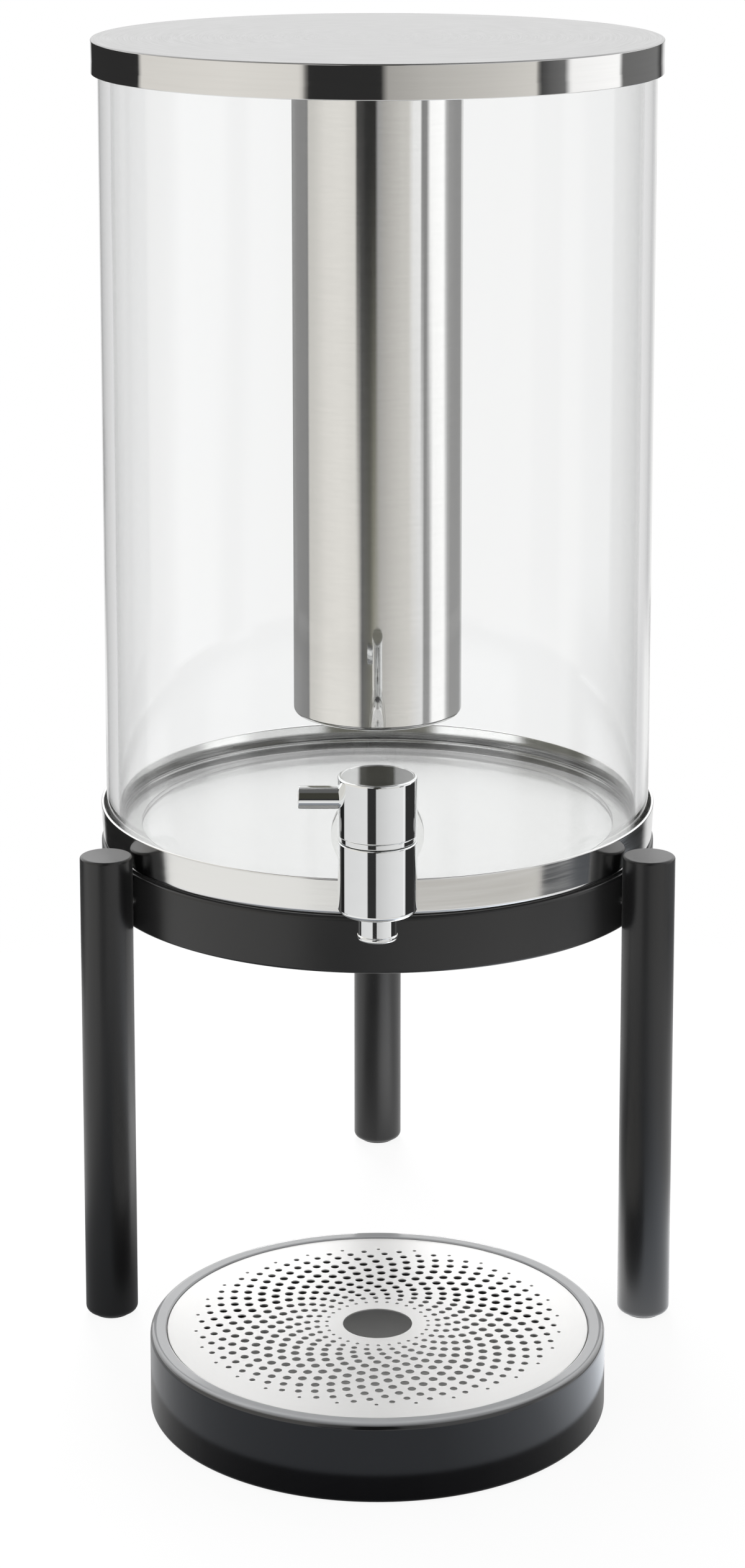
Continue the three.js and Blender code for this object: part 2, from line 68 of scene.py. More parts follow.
# Camera: at the photograph's angle, in front and a little from above
camera = {
    "place": (0, -1.2927, 0.5769),
    "pitchDown": 10.483,   # degrees
    "lens": 85.91,   # mm
    "sensor": 36,   # mm
    "shiftX": -0.0032,
    "shiftY": -0.25,
}


def addCamera(settings):
    lensData = bpy.data.cameras.new("photoCamera")
    lensData.lens = settings["lens"]
    lensData.sensor_width = settings["sensor"]
    lensData.sensor_fit = "AUTO"
    lensData.shift_x = settings["shiftX"]
    lensData.shift_y = settings["shiftY"]
    view = bpy.data.objects.new("photoCamera", lensData)
    view.location = settings["place"]
    view.rotation_euler = (math.radians(90 - settings["pitchDown"]), 0, 0)
    scene.collection.objects.link(view)
    scene.camera = view


addCamera(camera)
print("camera placed")


onAxis = middleOf("glass_container")
onTap = middleOf("tap_head")
onTray = middleOf("drip_tray")
axisXY = Vector((onAxis.x, onAxis.y, 0))
tapXY = Vector((onTap.x, onTap.y, 0))
trayXY = Vector((onTray.x, onTray.y, 0))


# Small helpers for node trees
def newNode(tree, kind, inputs=None, **properties):
    node = tree.nodes.new(kind)
    for key, value in properties.items():
        setattr(node, key, value)
    for key, value in (inputs or {}).items():
        socket = node.inputs[key]
        if isinstance(value, bpy.types.NodeSocket):
            tree.links.new(value, socket)
        else:
            socket.default_value = value
    return node


def calc(tree, operation, *values):
    node = newNode(tree, "ShaderNodeMath", dict(enumerate(values)), operation=operation)
    return node.outputs[0]


def smoothRange(tree, value, start, end, low=0.0, high=1.0, mode="SMOOTHSTEP"):
    inputs = {"Value": value, "From Min": start, "From Max": end, "To Min": low, "To Max": high}
    return newNode(tree, "ShaderNodeMapRange", inputs, interpolation_type=mode).outputs["Result"]


def mixColours(tree, factor, first, second):
    inputs = {0: factor, 6: first, 7: second}   # factor, A and B of a colour mix
    return newNode(tree, "ShaderNodeMix", inputs, data_type="RGBA").outputs[2]


def grey(level):
    return [level] * 3 + [1]


# Studio: white to the eye, plain for the matt surfaces, and a ring of cards and gaps for what
# is polished
tint = {
    "plain": (1.0, 1.0, 1.0),
    "warm": (1.0, 0.975, 0.925),
    "pale": (1.0, 0.995, 0.965),
    "cool": (0.90, 0.96, 1.05),
    "olive": (1.0, 0.98, 0.80),
}
studio = {
    "eye": 1.0,
    "ambient": 0.55,
    "throughWall": 0.93,
    "insideFrom": 3.5,   # glass faces passed by a ray that comes from inside the jar
    # each band: degrees from the front towards +X, level, and a tint where it isn't plain
    "ceiling": [(-180, 0.12), (180, 0.12)],
    "high": [
        (-180, 1.45), (-118, 1.45), (-106, 0.80, "warm"), (-32, 0.80, "warm"), (-26, 0.50),
        (-14, 0.45), (-10, 0.05, "olive"), (9, 0.05, "olive"), (13, 0.45), (24, 0.50), (28, 0.75),
        (106, 0.80), (118, 1.45), (180, 1.45),
    ],
    "level": [
        (-180, 0.90), (-168, 0.80), (-164, 0.03), (-109.5, 0.03), (-107.5, 0.80, "warm"),
        (-60, 0.86, "warm"), (-30, 0.82, "warm"), (-27.5, 0.03), (1.5, 0.03), (4, 0.44, "warm"),
        (20, 0.56, "warm"), (45, 0.66, "warm"), (65, 0.76, "warm"), (66.5, 0.06), (72, 0.13),
        (79, 0.18), (82, 1.1), (111, 1.2), (113.5, 0.17), (148, 0.20), (156, 0.04), (166, 0.80),
        (180, 0.90),
    ],
    "low": [
        (-180, 0.90), (-164, 0.80), (-160, 0.015), (-114, 0.015), (-110, 0.76), (-30, 0.80),
        (-28, 0.03), (-5, 0.03), (-3, 0.62), (40, 0.76), (80, 0.84), (84, 1.1), (90, 0.03),
        (146, 0.03), (154, 0.8), (180, 0.9),
    ],
    "lowest": [
        (-180, 0.50), (-154, 0.30), (-150, 0.015), (-99.5, 0.015), (-98, 0.98, "pale"),
        (-30, 0.94, "pale"), (-8, 0.82, "pale"), (8, 0.60, "warm"), (60, 0.62, "warm"),
        (71.5, 0.66, "warm"), (73, 0.05, "cool"), (86, 0.06, "cool"), (88, 0.10, "cool"),
        (102, 0.12, "cool"), (107, 0.60, "cool"), (150, 0.80, "cool"), (160, 0.60), (180, 0.50),
    ],
    "floorWhite": [(-180, 0.9), (180, 0.9)],
    "insideHigh": [
        (-180, 1.22), (-116, 1.22), (-110, 0.22, "olive"), (-70, 0.25, "olive"), (-64, 0.95),
        (-28, 0.95), (-23, 0.05, "olive"), (21, 0.05, "olive"), (26, 0.46), (58, 0.48), (64, 1.0),
        (82, 1.0), (88, 0.40), (110, 0.42), (116, 1.22), (180, 1.22),
    ],
    "insideMiddle": [
        (-180, 1.22), (-116, 1.22), (-110, 0.14, "olive"), (-70, 0.16, "olive"), (-64, 2.0),
        (-28, 2.0), (-23, 0.22, "olive"), (21, 0.22, "olive"), (26, 1.3), (58, 1.4), (64, 2.0),
        (82, 2.0), (88, 1.0), (110, 1.0), (116, 1.22), (180, 1.22),
    ],
    "insideLevel": [
        (-180, 0.28), (-158, 0.30), (-112, 0.27), (-109, 0.24), (-105, 0.78, "warm"),
        (-92, 0.84, "warm"), (-72, 1.0, "warm"), (-48, 1.0, "warm"), (-30, 0.90, "warm"),
        (-27.5, 0.03), (-20, 0.01), (-3, 0.01, "olive"), (1, 0.42), (10, 0.52, "warm"),
        (20, 0.62, "warm"), (42, 0.80, "warm"), (49, 1.08), (59, 1.12), (61.5, 0.26), (69, 0.30),
        (75, 1.36), (99, 1.42), (105, 0.60), (112, 0.40), (130, 0.34), (150, 0.32), (156, 0.80),
        (180, 0.80),
    ],
    "insideLow": [
        (-180, 0.28), (-158, 0.30), (-112, 0.27), (-109, 0.24), (-105, 0.80, "warm"),
        (-92, 0.84, "warm"), (-72, 1.0, "warm"), (-48, 1.02, "warm"), (-27, 0.92, "warm"),
        (-21, 0.13), (-10, 0.16, "olive"), (-4, 0.36, "olive"), (4, 0.56, "warm"),
        (20, 0.70, "warm"), (42, 0.84, "warm"), (58, 0.96), (63, 1.0), (66, 0.34), (74, 0.36),
        (81, 1.34), (102, 1.40), (110, 0.60), (118, 0.38), (152, 0.36), (160, 0.60), (180, 0.60),
    ],
    # top to bottom: bands, and the elevations between which they take over from the ones above
    "outside": [
        ("ceiling", None), ("high", (62, 57)), ("level", (3, 0.5)), ("low", (-13, -15)),
        ("lowest", (-19.6, -21.2)), ("floorWhite", (-25.5, -28)),
    ],
    "inside": [
        ("ceiling", None), ("insideHigh", (62, 57)), ("insideMiddle", (16, 13.5)),
        ("insideLevel", (3, 0.5)), ("insideLow", (-6, -15)), ("floorWhite", (-25.5, -28)),
    ],
}


# Where a direction lies round the upright axis: 0.5 is the front, and 0.75 is +X
def shareAround(tree, direction):
    parts = newNode(tree, "ShaderNodeSeparateXYZ", {0: direction}).outputs
    azimuth = calc(tree, "ARCTAN2", parts["X"], calc(tree, "MULTIPLY", parts["Y"], -1.0))
    return calc(tree, "MULTIPLY_ADD", azimuth, 1 / (2 * math.pi), 0.5)


def bandRamp(tree, around, bands):
    node = newNode(tree, "ShaderNodeValToRGB", {"Fac": around})
    elements = node.color_ramp.elements
    for band in bands[1:-1]:
        elements.new((band[0] + 180) / 360)
    for element, (_, level, *shade) in zip(elements, bands):
        element.color = [level * part for part in tint[shade[0] if shade else "plain"]] + [1]
    return node.outputs["Color"]


def bandStack(tree, around, elevation, settings, layers):
    shown = None
    for name, turnsAt in layers:
        layer = bandRamp(tree, around, settings[name])
        if turnsAt:
            layer = mixColours(tree, smoothRange(tree, elevation, *turnsAt), shown, layer)
        shown = layer
    return shown


# 1 for light that was mirrored, scattered or let through more than so many times on its way
def hasBeen(tree, path, kind, times=0.5):
    return calc(tree, "GREATER_THAN", path[kind + " Depth"], times)


def buildWorld(settings):
    world = bpy.data.worlds.new("studio")
    scene.world = world
    world.use_nodes = True
    world.cycles.sampling_method = "NONE"
    tree = world.node_tree
    tree.nodes.clear()
    direction = newNode(tree, "ShaderNodeTexCoord").outputs["Generated"]
    around = shareAround(tree, direction)
    height = newNode(tree, "ShaderNodeSeparateXYZ", {0: direction}).outputs["Z"]
    elevation = calc(tree, "MULTIPLY", calc(tree, "ARCSINE", height), 180 / math.pi)
    path = newNode(tree, "ShaderNodeLightPath").outputs
    outside = bandStack(tree, around, elevation, settings, settings["outside"])
    inside = bandStack(tree, around, elevation, settings, settings["inside"])
    throughWall = hasBeen(tree, path, "Transmission")
    fromInside = hasBeen(tree, path, "Transmission", settings["insideFrom"])
    shown = mixColours(tree, throughWall, outside, grey(settings["throughWall"]))
    shown = mixColours(tree, fromInside, shown, inside)
    shown = mixColours(tree, hasBeen(tree, path, "Glossy"), grey(settings["eye"]), shown)
    shown = mixColours(tree, hasBeen(tree, path, "Diffuse"), shown, grey(settings["ambient"]))
    background = newNode(tree, "ShaderNodeBackground", {"Color": shown, "Strength": 1.0})
    newNode(tree, "ShaderNodeOutputWorld", {"Surface": background.outputs[0]})


buildWorld(studio)

floorSettings = {
    "radius": 0.42, "segments": 96, "mirrored": 0.9, "glow": 0.91, "shadowShare": 0.12,
    # painted shadow of the tray on the floor, seen only in reflections such as the tray's glossy
    # wall
    "shadeRadius": 90 * mm, "shadeForward": 9 * mm, "shadeEdge": 2 * mm, "shadeLevel": 0.03,
    # painted light and shade on the floor close round the tray, set by direction and seen only in
    # reflections such as the tray's wall
    "nearEdge": (200 * mm, 260 * mm),
    "near": [
        (-180, 0.6), (-150, 0.2), (-60, 0.30, "cool"), (-20, 0.30, "cool"), (20, 0.32, "cool"),
        (60, 0.60, "cool"), (100, 1.5, "cool"), (140, 2.4), (170, 1.6), (180, 0.9),
    ],
}


# Floor: a pale disc; seen directly it is the white of the backdrop with the shadow kept
def buildFloor(settings):
    material = bpy.data.materials.new("paleFloor")
    material.use_nodes = True
    tree = material.node_tree
    tree.nodes.clear()
    path = newNode(tree, "ShaderNodeLightPath").outputs
    place = newNode(tree, "ShaderNodeTexCoord").outputs["Object"]
    # painted shadow, for reflections only: the floor's level drops inside a disc just in front of
    # the tray
    shadeCentre = Vector((onTray.x, onTray.y - settings["shadeForward"], 0))
    reach = newNode(tree, "ShaderNodeVectorMath", {0: place, 1: shadeCentre}, operation="DISTANCE")
    reach = reach.outputs["Value"]
    edge = [settings["shadeRadius"] + side * settings["shadeEdge"] for side in (-1, 1)]
    shadeLevel = settings["shadeLevel"]
    shade = calc(tree, "MULTIPLY_ADD", smoothRange(tree, reach, *edge), 1 - shadeLevel, shadeLevel)
    offset = newNode(tree, "ShaderNodeVectorMath", {0: place, 1: trayXY}, operation="SUBTRACT")
    # painted light and shade by direction round the tray, for reflections only
    near = bandRamp(tree, shareAround(tree, offset.outputs[0]), settings["near"])
    far = smoothRange(tree, reach, *settings["nearEdge"])
    level = mixColours(tree, far, near, grey(settings["mirrored"]))
    reflected = newNode(tree, "ShaderNodeEmission", {"Color": level, "Strength": shade})
    plain = newNode(tree, "ShaderNodeBsdfDiffuse", {"Color": grey(settings["mirrored"])})
    shadowed = newNode(tree, "ShaderNodeBsdfDiffuse", {"Color": grey(settings["shadowShare"])})
    glow = newNode(tree, "ShaderNodeEmission", {"Strength": settings["glow"]})
    shown = newNode(tree, "ShaderNodeAddShader", {0: shadowed.outputs[0], 1: glow.outputs[0]})
    for kind, other in (("Glossy", reflected), ("Diffuse", plain)):
        shown = newNode(tree, "ShaderNodeMixShader", {
            0: hasBeen(tree, path, kind), 1: shown.outputs[0], 2: other.outputs[0],
        })
    newNode(tree, "ShaderNodeOutputMaterial", {"Surface": shown.outputs[0]})
    bm = bmesh.new()
    bmesh.ops.create_circle(
        bm, cap_ends=True, radius=settings["radius"], segments=settings["segments"],
    )
    mesh = bpy.data.meshes.new("paleFloor")
    bm.to_mesh(mesh)
    bm.free()
    mesh.materials.append(material)
    floor = bpy.data.objects.new("paleFloor", mesh)
    scene.collection.objects.link(floor)


buildFloor(floorSettings)

lamps = {
    "backTop": {"place": (-0.15, 1.25, 1.45), "size": 0.7, "power": 20, "mirrored": False},
    "front": {"place": (-0.9, -1.6, 1.3), "size": 1.2, "power": 6, "mirrored": False},
    # low, so that it shines through under the dish on to the tray
    "backLow": {"place": (0.0, 1.25, 0.28), "size": 0.28, "power": 0.9, "mirrored": True},
}


def addLamp(name, settings):
    light = bpy.data.lights.new(name, "AREA")
    light.energy = settings["power"]
    light.size = settings["size"]
    lamp = bpy.data.objects.new(name, light)
    lamp.location = settings["place"]
    aim = middleOf("glass_container") - lamp.location
    lamp.rotation_euler = aim.to_track_quat("-Z", "Y").to_euler()
    lamp.visible_glossy = settings["mirrored"]
    lamp.visible_transmission = False
    lamp.visible_camera = False
    scene.collection.objects.link(lamp)


for lampName, lampSettings in lamps.items():
    addLamp(lampName, lampSettings)
print("studio lit")

noiseSpan = (0.3, 0.7)   # nearly all values of a noise lie between these


# Small helpers for materials
def newMaterial(name):
    material = bpy.data.materials.new(name)
    material.use_nodes = True
    tree = material.node_tree
    return material, tree, tree.nodes["Principled BSDF"]


def objectNoise(tree, scale, detail):
    place = newNode(tree, "ShaderNodeTexCoord").outputs["Object"]
    inputs = {"Vector": place, "Scale": scale, "Detail": detail}
    return newNode(tree, "ShaderNodeTexNoise", inputs).outputs["Fac"]


def varyRoughness(tree, surface, noise, span):
    roughness = smoothRange(tree, noise, *noiseSpan, *span, mode="LINEAR")
    tree.links.new(roughness, surface.inputs["Roughness"])


def raiseMarks(tree, surface, noise, depth, strength):
    inputs = {"Height": noise, "Distance": depth, "Strength": strength}
    tree.links.new(newNode(tree, "ShaderNodeBump", inputs).outputs[0], surface.inputs["Normal"])


# Fine marks that run round an axis, as a lathe or a polishing wheel leaves them
def turningMarks(tree, centre, lines, lengthwise):
    place = newNode(tree, "ShaderNodeTexCoord").outputs["Object"]
    moved = {"Vector": place, "Location": [-part for part in centre]}
    centred = newNode(tree, "ShaderNodeMapping", moved).outputs[0]
    parts = newNode(tree, "ShaderNodeSeparateXYZ", {0: centred}).outputs
    flat = newNode(tree, "ShaderNodeCombineXYZ", {"X": parts["X"], "Y": parts["Y"]}).outputs[0]
    reach = newNode(tree, "ShaderNodeVectorMath", {0: flat}, operation="LENGTH")
    unit = newNode(tree, "ShaderNodeVectorMath", {0: flat}, operation="NORMALIZE").outputs[0]
    scaled = {0: unit, "Scale": lengthwise}
    spread = newNode(tree, "ShaderNodeVectorMath", scaled, operation="SCALE").outputs[0]
    height = calc(tree, "MULTIPLY", parts["Z"], lines)
    rise = newNode(tree, "ShaderNodeCombineXYZ", {"Z": height}).outputs[0]
    spot = newNode(tree, "ShaderNodeVectorMath", {0: spread, 1: rise}, operation="ADD").outputs[0]
    across = calc(tree, "MULTIPLY", reach.outputs["Value"], lines)
    marks = {"Vector": spot, "W": across, "Scale": 1.0, "Detail": 3.0}
    return newNode(tree, "ShaderNodeTexNoise", marks, noise_dimensions="4D").outputs["Fac"]


def metal(name, centre, settings):
    material, tree, surface = newMaterial(name)
    surface.inputs["Metallic"].default_value = settings["metallic"]
    marks = turningMarks(tree, centre, settings["lines"], settings["lengthwise"])
    dark, pale = [[level * part for part in settings["tint"]] + [1] for level in settings["levels"]]
    tree.links.new(mixColours(tree, marks, dark, pale), surface.inputs["Base Color"])
    varyRoughness(tree, surface, marks, settings["roughness"])
    raiseMarks(tree, surface, marks, settings["depth"], 1.0)
    return material


metalFinishes = {
    "polished": {
        "metallic": 1.0, "lines": 900, "lengthwise": 3.0, "depth": 0.000004,
        "roughness": (0.03, 0.06), "levels": (0.76, 0.82), "tint": (1.0, 0.995, 0.985),
    },
    "spun": {
        "metallic": 1.0, "lines": 2600, "lengthwise": 5.0, "depth": 0.000006,
        "roughness": (0.30, 0.42), "levels": (0.34, 0.38), "tint": (1.0, 1.0, 1.0),
    },
    "plate": {
        "metallic": 0.7, "lines": 1500, "lengthwise": 6.0, "depth": 0.000005,
        "roughness": (0.36, 0.44), "levels": (0.93, 0.97), "tint": (1.0, 0.995, 0.985),
    },
    "pressed": {
        "metallic": 1.0, "lines": 620, "lengthwise": 3.0, "depth": 0.000014,
        "roughness": (0.09, 0.15), "levels": (0.76, 0.82), "tint": (1.0, 0.998, 0.99),
    },
    "chrome": {
        "metallic": 1.0, "lines": 260, "lengthwise": 2.0, "depth": 0.000003,
        "roughness": (0.02, 0.05), "levels": (0.86, 0.90), "tint": (0.99, 1.0, 1.0),
    },
}


# Paint, plastic, rubber, silicone and glass: clouds of two close shades, and a faint grain
def clouded(name, settings):
    material, tree, surface = newMaterial(name)
    clouds = objectNoise(tree, *settings["clouds"])
    if "colours" in settings:
        colour = mixColours(tree, clouds, *settings["colours"])
        tree.links.new(colour, surface.inputs["Base Color"])
    if "roughness" in settings:
        varyRoughness(tree, surface, clouds, settings["roughness"])
    if "marks" in settings:
        grain = objectNoise(tree, *settings["grain"]) if "grain" in settings else clouds
        raiseMarks(tree, surface, grain, *settings["marks"])
    for socket, value in settings["sockets"].items():
        surface.inputs[socket].default_value = value
    return material


# clouds and grain are scale and detail of a noise, marks are depth and strength
cloudedFinishes = {
    "satinBlackPaint": {
        "clouds": (30.0, 4.0), "colours": ((0.003, 0.003, 0.0033, 1), (0.007, 0.007, 0.0075, 1)),
        "roughness": (0.28, 0.36), "grain": (2600.0, 3.0), "marks": (0.00003, 0.5),
        "sockets": {"IOR": 1.6, "Sheen Weight": 0.12, "Sheen Roughness": 0.4},
    },
    "smokyPlastic": {
        "clouds": (55.0, 4.0), "colours": ((0.002, 0.002, 0.0025, 1), (0.004, 0.004, 0.005, 1)),
        "roughness": (0.09, 0.12), "marks": (0.00005, 0.4),
        "sockets": {"IOR": 1.7, "Sheen Weight": 0.9, "Sheen Roughness": 0.35},
    },
    "trayLining": {
        "clouds": (90.0, 4.0), "colours": ((0.86, 0.86, 0.85, 1), (0.90, 0.90, 0.89, 1)),
        "marks": (0.0001, 0.4), "sockets": {"Roughness": 0.55},
    },
    "blackRubber": {
        "clouds": (3500.0, 3.0), "colours": ((0.016, 0.016, 0.016, 1), (0.03, 0.03, 0.03, 1)),
        "marks": (0.00006, 0.6), "sockets": {"Roughness": 0.8},
    },
    "clearSilicone": {
        "clouds": (120.0, 3.0), "colours": ((0.93, 0.93, 0.92, 1), (0.97, 0.97, 0.965, 1)),
        "roughness": (0.08, 0.16), "sockets": {"Transmission Weight": 0.97, "IOR": 1.18},
    },
    "clearGlass": {
        "clouds": (14.0, 1.0), "marks": (0.00012, 1.0),
        "sockets": {
            "Base Color": (0.955, 0.958, 0.958, 1), "Specular Tint": (0.55, 0.55, 0.55, 1),
            "Roughness": 0.0, "Transmission Weight": 1.0, "IOR": 1.5,
        },
    },
}

# painted highlight along the crest of the tray's rim: how far down it fades, and its colour
crestHighlightPaint = {"fade": 0.9 * mm, "colour": (0.60, 0.61, 0.625, 1)}


# Painted highlight: the base colour is paler along the crest of the tray's rim, standing in for a
# bright reflection there
def paintedCrestHighlight(material, settings):
    tree = material.node_tree
    target = tree.nodes["Principled BSDF"].inputs["Base Color"]
    wall = target.links[0].from_socket
    place = newNode(tree, "ShaderNodeTexCoord").outputs["Object"]
    height = newNode(tree, "ShaderNodeSeparateXYZ", {0: place}).outputs["Z"]
    top = heightsOf("drip_tray")[1]
    # mask of the painted highlight, rising to full at the top of the rim
    highlightMask = smoothRange(tree, height, top - settings["fade"], top, mode="LINEAR")
    tree.links.new(mixColours(tree, highlightMask, wall, settings["colour"]), target)


polishedSteel = metal("polishedSteel", onAxis, metalFinishes["polished"])
spunSteel = metal("spunSteel", onAxis, metalFinishes["spun"])
plateSteel = metal("plateSteel", onTray, metalFinishes["plate"])
pressedSteel = metal("pressedSteel", onAxis, metalFinishes["pressed"])
chrome = metal("brightChrome", onTap, metalFinishes["chrome"])
blackPaint, smoky, lining, rubber, silicone, glassMaterial = [
    clouded(name, settings) for name, settings in cloudedFinishes.items()
]
paintedCrestHighlight(smoky, crestHighlightPaint)
print("materials made")


# Corners are (radius, height, rounding); a rounded corner is an arc between two support points,
# which are left out where the next corner is too close
def roundedOutline(corners, arcSteps=7, support=0.2 * mm):
    count = len(corners)
    spots = [Vector(corner[:2]) for corner in corners]
    arcs = []
    for index, corner in enumerate(corners):
        rounding = corner[2] if len(corner) > 2 else 0
        back = (spots[index - 1] - spots[index]).normalized()
        ahead = (spots[(index + 1) % count] - spots[index]).normalized()
        half = back.angle(ahead) / 2
        arcs.append((rounding, back, ahead, half, rounding / math.tan(half) if rounding else 0))
    outline = []
    for index, (rounding, back, ahead, half, reach) in enumerate(arcs):
        here = spots[index]
        if not rounding:
            outline.append(here)
            continue
        after = (index + 1) % count
        room = (spots[index - 1] - here).length - reach - arcs[index - 1][4]
        roomAfter = (spots[after] - here).length - reach - arcs[after][4]
        centre = here + (back + ahead).normalized() * rounding / math.sin(half)
        start = here + back * reach - centre
        end = here + ahead * reach - centre
        turn = math.atan2(start.x * end.y - start.y * end.x, start.dot(end))
        if room > 3 * support:
            outline.append(here + back * (reach + support))
        for step in range(arcSteps + 1):
            outline.append(centre + Matrix.Rotation(turn * step / arcSteps, 2) @ start)
        if roomAfter > 3 * support:
            outline.append(here + ahead * (reach + support))
    return outline


layAlong = {
    "Z": Matrix.Identity(4),
    "Y": Matrix.Rotation(math.radians(-90), 4, "X"),
    "X": Matrix.Rotation(math.radians(90), 4, "Y"),
}


def ringOfVerts(bm, spot, segments):
    angles = [2 * math.pi * step / segments for step in range(segments)]
    return [bm.verts.new((spot.x * math.cos(a), spot.x * math.sin(a), spot.y)) for a in angles]


# A solid of revolution; the outline runs from axis to axis, or is a loop clear of the axis
def turnedMesh(outline, centre, segments=144, along="Z"):
    bm = bmesh.new()
    tiny = 1e-7
    rings = []
    for spot in outline:
        onlyOne = spot.x < tiny
        rings.append([bm.verts.new((0, 0, spot.y))] if onlyOne else ringOfVerts(bm, spot, segments))
    pairs = list(zip(rings, rings[1:]))
    if outline[0].x > tiny and outline[-1].x > tiny:
        pairs.append((rings[-1], rings[0]))
    for lower, upper in pairs:
        if len(lower) == 1 and len(upper) == 1:
            continue
        for step in range(segments):
            after = (step + 1) % segments
            if len(lower) == 1:
                bm.faces.new((lower[0], upper[after], upper[step]))
            elif len(upper) == 1:
                bm.faces.new((lower[step], lower[after], upper[0]))
            else:
                bm.faces.new((lower[step], lower[after], upper[after], upper[step]))
    bmesh.ops.recalc_face_normals(bm, faces=bm.faces)
    bm.transform(Matrix.Translation(centre) @ layAlong[along])
    return bm


def smoothFaces(mesh, sharpAngle):
    mesh.polygons.foreach_set("use_smooth", [True] * len(mesh.polygons))
    mesh.set_sharp_from_angle(angle=math.radians(sharpAngle))


def addPiece(name, bm, material, sharpAngle=32):
    mesh = bpy.data.meshes.new(name)
    bm.to_mesh(mesh)
    bm.free()
    smoothFaces(mesh, sharpAngle)
    mesh.materials.append(material)
    piece = bpy.data.objects.new(name, mesh)
    scene.collection.objects.link(piece)
    return piece


def turned(name, corners, centre, material, segments=144, along="Z"):
    bm = turnedMesh(roundedOutline(corners), centre, segments, along)
    return addPiece(name, bm, material)


# A plain round post between two ends, each with its own rounding
def post(name, radius, ends, roundings, centre, material, segments=144, along="Z"):
    (low, high), (foot, top) = ends, roundings
    corners = [(0, low), (radius, low, foot), (radius, high, top), (0, high)]
    return turned(name, corners, centre, material, segments, along)


# A plain ring with one rounding on its four edges
def flatRing(name, bore, outer, heights, edge, centre, material, segments=144):
    low, high = heights
    corners = [(bore, low, edge), (outer, low, edge), (outer, high, edge), (bore, high, edge)]
    return turned(name, corners, centre, material, segments)


# What the modifiers make becomes the piece's own mesh
def settle(piece):
    settled = piece.evaluated_get(bpy.context.evaluated_depsgraph_get())
    made = bpy.data.meshes.new_from_object(settled)
    made.name = piece.name
    piece.modifiers.clear()
    piece.data = made
    return piece


def combine(piece, tool, operation, sharpAngle=32):
    step = piece.modifiers.new(operation.lower(), "BOOLEAN")
    step.object = tool
    step.operation = operation
    step.solver = "EXACT"
    settle(piece)
    bpy.data.objects.remove(tool)
    smoothFaces(piece.data, sharpAngle)


def mount(piece, body, slotName, *nodes):
    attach(piece, body)
    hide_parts(*nodes)


shankRadius = 5.4 * mm

# Glass: one clear wall and a thick floor, with a hole for the shank
jar = {
    "wall": 4.5 * mm, "floor": 6 * mm, "foot": 1.5 * mm, "inside": 1.5 * mm, "lip": 1.5 * mm,
    "holeGap": 0.25 * mm, "holeBand": 4 * mm, "toolReach": 15 * mm,
    "sides": 192, "holeSides": 48, "steps": 24,
}


def buildGlass(settings):
    bottom, top = heightsOf("glass_container")
    outer = radiusOf("glass_container")
    bore = outer - settings["wall"]
    shankHeight = middleOf("shank_nut").z
    band = radiusOf("outer_washer") + settings["holeBand"]
    piece = turned("glassJar", [
        (0, bottom),
        (outer, bottom, settings["foot"]),
        (outer, shankHeight + band),
        (outer, top, settings["lip"]),
        (bore, top, settings["lip"]),
        (bore, shankHeight + band),
        (bore, bottom + settings["floor"], settings["inside"]),
        (0, bottom + settings["floor"]),
    ], axisXY, glassMaterial, settings["sides"])
    ends = (-settings["toolReach"], settings["toolReach"])
    atWall = axisXY + Vector((0, -outer, shankHeight))
    tool = post("holeTool", shankRadius + settings["holeGap"], ends, (0, 0), atWall,
                glassMaterial, settings["holeSides"], "Y")
    combine(piece, tool, "DIFFERENCE")
    piece.visible_shadow = False
    piece.visible_diffuse = False
    mount(piece, "container", "clear_glass", "glass_container")
    # what is seen through the wall, the floor and the wall again takes many steps of light
    scene.cycles.max_bounces = settings["steps"]
    scene.cycles.transmission_bounces = settings["steps"]
    scene.cycles.glossy_bounces = settings["steps"]


buildGlass(jar)
print("glass made")

# Lid: satin on top, polished skirt drawn in by a hair at about a third of its height
lidPan = {
    "sheet": 1.2 * mm, "edge": 0.6 * mm, "insideEdge": 0.4 * mm, "footEdge": 0.3 * mm,
    "waist": 0.1 * mm, "waistShare": 0.36, "waistRounding": 3 * mm,
    "satinFrom": 0.3,   # how far up a face looks
    "sides": 192,
}


def buildLid(settings):
    bottom, top = heightsOf("lid_pan")
    outer = radiusOf("lid_pan")
    bore = outer - settings["sheet"]
    waistHeight = bottom + (top - bottom) * settings["waistShare"]
    piece = turned("lidPan", [
        (0, top - settings["sheet"]),
        (bore, top - settings["sheet"], settings["insideEdge"]),
        (bore, bottom, settings["footEdge"]),
        (outer, bottom, settings["footEdge"]),
        (outer - settings["waist"], waistHeight, settings["waistRounding"]),
        (outer, top, settings["edge"]),
        (0, top),
    ], axisXY, polishedSteel, settings["sides"])
    piece.data.materials.append(spunSteel)
    for face in piece.data.polygons:
        onTop = face.center.z > top - settings["sheet"] / 2
        face.material_index = 1 if onTop and face.normal.z > settings["satinFrom"] else 0
    mount(piece, "lid", "satin_steel", "lid_pan")


buildLid(lidPan)

# Lid seal: a flange under the lid, and a lip that reaches down into the mouth of the glass
lidSeal = {
    "lipRadius": 95.1 * mm, "lipWidth": 2.8 * mm, "lipEdges": (0.5 * mm, 0.8 * mm),
    "flange": 1.4 * mm, "flangeEdge": 0.4 * mm,
}


